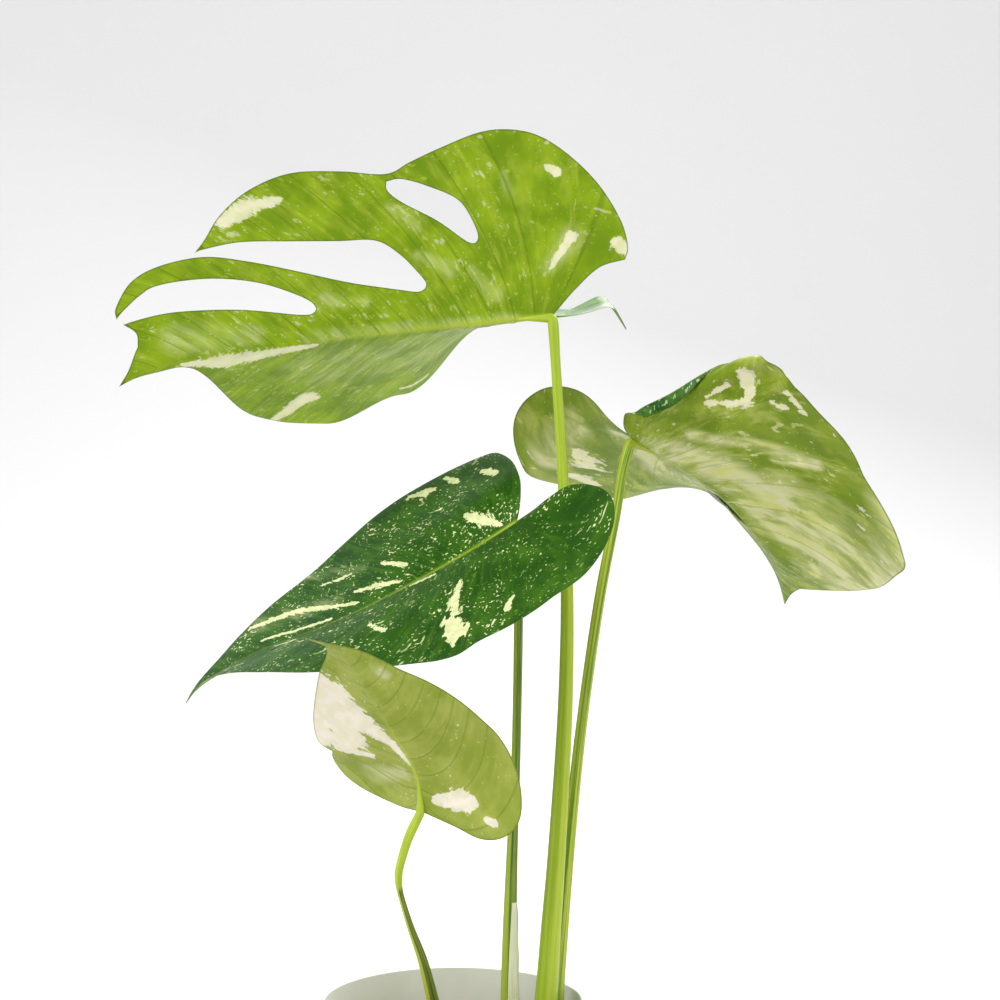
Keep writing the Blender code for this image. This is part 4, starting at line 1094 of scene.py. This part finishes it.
def soil_height(x, y):
    """The mix's uneven surface: coarse lumps, fine crumbs, heaped slightly against the stem."""
    spot = Vector((x, y, 0)) / MM
    lumps = noise.noise(spot / 11.0) * 0.9 + noise.noise(spot / 3.5) * 0.7 + noise.noise(spot / 1.3) * 0.35
    heap = 1.6 * math.exp(-(max(abs(y) - STEM_RADIUS, 0) / (5 * MM)) ** 2)
    heap *= 1 if abs(x - CROWN[0]) < STEM_LENGTH / 2 + 4 * MM else 0
    return MIX_TOP + (lumps * 0.8 + heap - 0.8) * MM


def soil_piece():
    """Potting mix: a finely lumpy surface on a body that follows the pot's inside."""
    edge = pot_outer_radius(MIX_TOP) - POT_WALL - 0.45 * MM
    foot = 6 * MM
    low = pot_outer_radius(foot) - POT_WALL - 0.5 * MM
    profile = [(0, POT_FLOOR + 0.3 * MM), (low - foot, POT_FLOOR + 0.3 * MM), (low, foot + POT_FLOOR)]
    rings = 56
    profile += [(edge * (rings - k) / rings, MIX_TOP) for k in range(rings)]
    profile.append((0, MIX_TOP))
    finish = soil_paint("potting_mix", rgb(44, 32, 22), rgb(92, 68, 46), 260.0)
    mix = lathe("potting_mix_live", profile, 150, finish)
    for vertex in mix.data.vertices:
        x, y, z = vertex.co
        if z > MIX_TOP - 1 * MM:
            vertex.co.z = soil_height(x, y)
    return mix


def unit_lump():
    """Points and faces of a cube with four squares to a side."""
    ends = (-1, 0, 1)
    unit_points = [(x, y, z) for z in ends for y in ends for x in ends if (x, y, z) != (0, 0, 0)]
    index = {p: k for k, p in enumerate(unit_points)}
    unit_faces = []
    for axis in range(3):
        for sign in (-1, 1):
            for a in (-1, 0):
                for b in (-1, 0):
                    corners = []
                    for da, db in ((0, 0), (1, 0), (1, 1), (0, 1)):
                        p = [0, 0, 0]
                        p[axis] = sign
                        p[(axis + 1) % 3] = a + da
                        p[(axis + 2) % 3] = b + db
                        corners.append(index[tuple(p)])
                    unit_faces.append(tuple(corners if sign > 0 else corners[::-1]))
    return unit_points, unit_faces


def crumbs(name, count, sizes, flatness, finish, seed, sink):
    """Many small rough lumps, joined into one mesh, strewn over the mix clear of the stem and the pot's wall."""
    luck = random.Random(seed)
    unit_points, unit_faces = unit_lump()
    limit = pot_outer_radius(MIX_TOP) - POT_WALL
    verts, faces = [], []
    placed = 0
    while placed < count:
        size = luck.uniform(*sizes) * MM
        angle, away = luck.uniform(0, math.tau), (limit - size * 1.3) * math.sqrt(luck.random())
        x, y = math.cos(angle) * away, math.sin(angle) * away
        if abs(y) < STEM_RADIUS + size * 0.8 and abs(x - CROWN[0]) < STEM_LENGTH / 2 + size:
            continue
        spin, tilt = luck.uniform(0, math.tau), luck.uniform(-0.35, 0.35)
        stretch = luck.uniform(0.55, 1.0)
        lift = soil_height(x, y) + size * flatness * sink
        start = len(verts)
        for p in unit_points:
            v = Vector(p).normalized() * (1 + luck.uniform(-0.16, 0.16))
            v = Vector((v.x * size, v.y * size * stretch, v.z * size * flatness))
            v.z += v.x * tilt
            verts.append((x + v.x * math.cos(spin) - v.y * math.sin(spin),
                          y + v.x * math.sin(spin) + v.y * math.cos(spin), lift + v.z))
        faces += [tuple(start + k for k in face) for face in unit_faces]
        placed += 1
    piece = new_object(name, verts, faces, [finish])
    piece.data.set_sharp_from_angle(angle=math.radians(38))
    return piece


def stand_for(piece, node):
    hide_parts(node)
    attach(piece, "root")


def main():
    # Each stalk's last two numbers: how strong its painted highlight is, and on which side it lies.
    stalks = {
        "top_leaf": stalk_paint("top_stalk", leaf_green(128, 158, 44), leaf_green(158, 180, 82),
                                leaf_green(116, 148, 34), leaf_green(140, 168, 44), 0.40, 0.97, 0.2, 1),
        "right_leaf": stalk_paint("right_stalk", leaf_green(86, 124, 38), leaf_green(164, 182, 84),
                                  leaf_green(72, 112, 32), leaf_green(112, 136, 32), 0.75, 0.93, 0.2, -1),
        "dark_leaf": stalk_paint("dark_stalk", leaf_green(52, 90, 34), leaf_green(150, 172, 80),
                                 leaf_green(46, 86, 32), leaf_green(96, 132, 44), 0.35, 0.95, 0.8, -1),
        "small_leaf": stalk_paint("small_stalk", leaf_green(36, 64, 22), leaf_green(168, 188, 96),
                                  leaf_green(34, 62, 20), leaf_green(132, 164, 44), 0.25, 0.60, 0.8, -1),
    }
    for name, leaf in LEAVES.items():
        stand_for(blade_piece(name, leaf), name + "_blade")
        stand_for(stalk_piece(name, leaf, stalks[name]), name + "_petiole")
    stand_for(sheath_piece(LEAVES["dark_leaf"]), "dark_leaf_sheath")
    stand_for(stem_piece(), "stem")
    stand_for(pot_piece(), "pot")
    stand_for(soil_piece(), "potting_mix")
    bark_finish = soil_paint("bark_chips", rgb(84, 56, 34), rgb(136, 98, 62), 180.0)
    stone_finish = soil_paint("perlite", rgb(206, 204, 196), rgb(236, 235, 230), 400.0, 0.9)
    bark = crumbs("bark_chips", 230, (2.2, 5.0), 0.42, bark_finish, seed=5, sink=0.35)
    stones = crumbs("perlite", 90, (0.9, 2.0), 0.8, stone_finish, seed=8, sink=0.5)
    for piece in (bark, stones):
        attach(piece, "root")
    studio()


def area_light(name, place, target, size, power):
    data = bpy.data.lights.new(name, "AREA")
    data.shape = "DISK"
    data.size = size
    data.energy = power
    lamp = bpy.data.objects.new(name, data)
    lamp.location = place
    lamp.rotation_euler = (Vector(target) - Vector(place)).to_track_quat("-Z", "Y").to_euler()
    bpy.context.scene.collection.objects.link(lamp)


def studio():
    """Pale seamless floor and wall, soft light from above and both sides, and the camera."""
    floor_paint = Paint("studio_floor")
    cloud = object_noise(floor_paint, 2.0)
    floor_paint.surface(floor_paint.mix(cloud, rgb(213, 213, 213), rgb(216, 216, 216)), 0.9, 0.1)
    width, bend, back, height = 6.0, 0.8, 2.2, 4.0
    profile = [(-4.0, 0.0), (back - bend, 0.0)]
    for k in range(1, 17):
        turn = math.pi / 2 * k / 16
        profile.append((back - bend + bend * math.sin(turn), bend - bend * math.cos(turn)))
    profile.append((back, height))
    verts = [(x, y, z) for y, z in profile for x in (-width, width)]
    faces = [(2 * k, 2 * k + 1, 2 * k + 3, 2 * k + 2) for k in range(len(profile) - 1)]
    floor = new_object("studio_floor", verts, faces, [floor_paint.material])

    for light in LIGHTS:
        area_light(*light)
    world = bpy.data.worlds.new("studio")
    world.use_nodes = True
    world.node_tree.nodes["Background"].inputs[0].default_value = (1, 1, 1, 1)
    world.node_tree.nodes["Background"].inputs[1].default_value = WORLD_STRENGTH
    bpy.context.scene.world = world
    bpy.context.scene.view_settings.view_transform = "Standard"

    camera = bpy.data.cameras.new("camera")
    camera.lens = CAMERA_LENS
    camera.sensor_width = 36
    view = bpy.data.objects.new("camera", camera)
    view.location = CAMERA_PLACE
    view.rotation_euler = (math.pi / 2, 0, 0)
    bpy.context.scene.collection.objects.link(view)
    bpy.context.scene.camera = view


main()
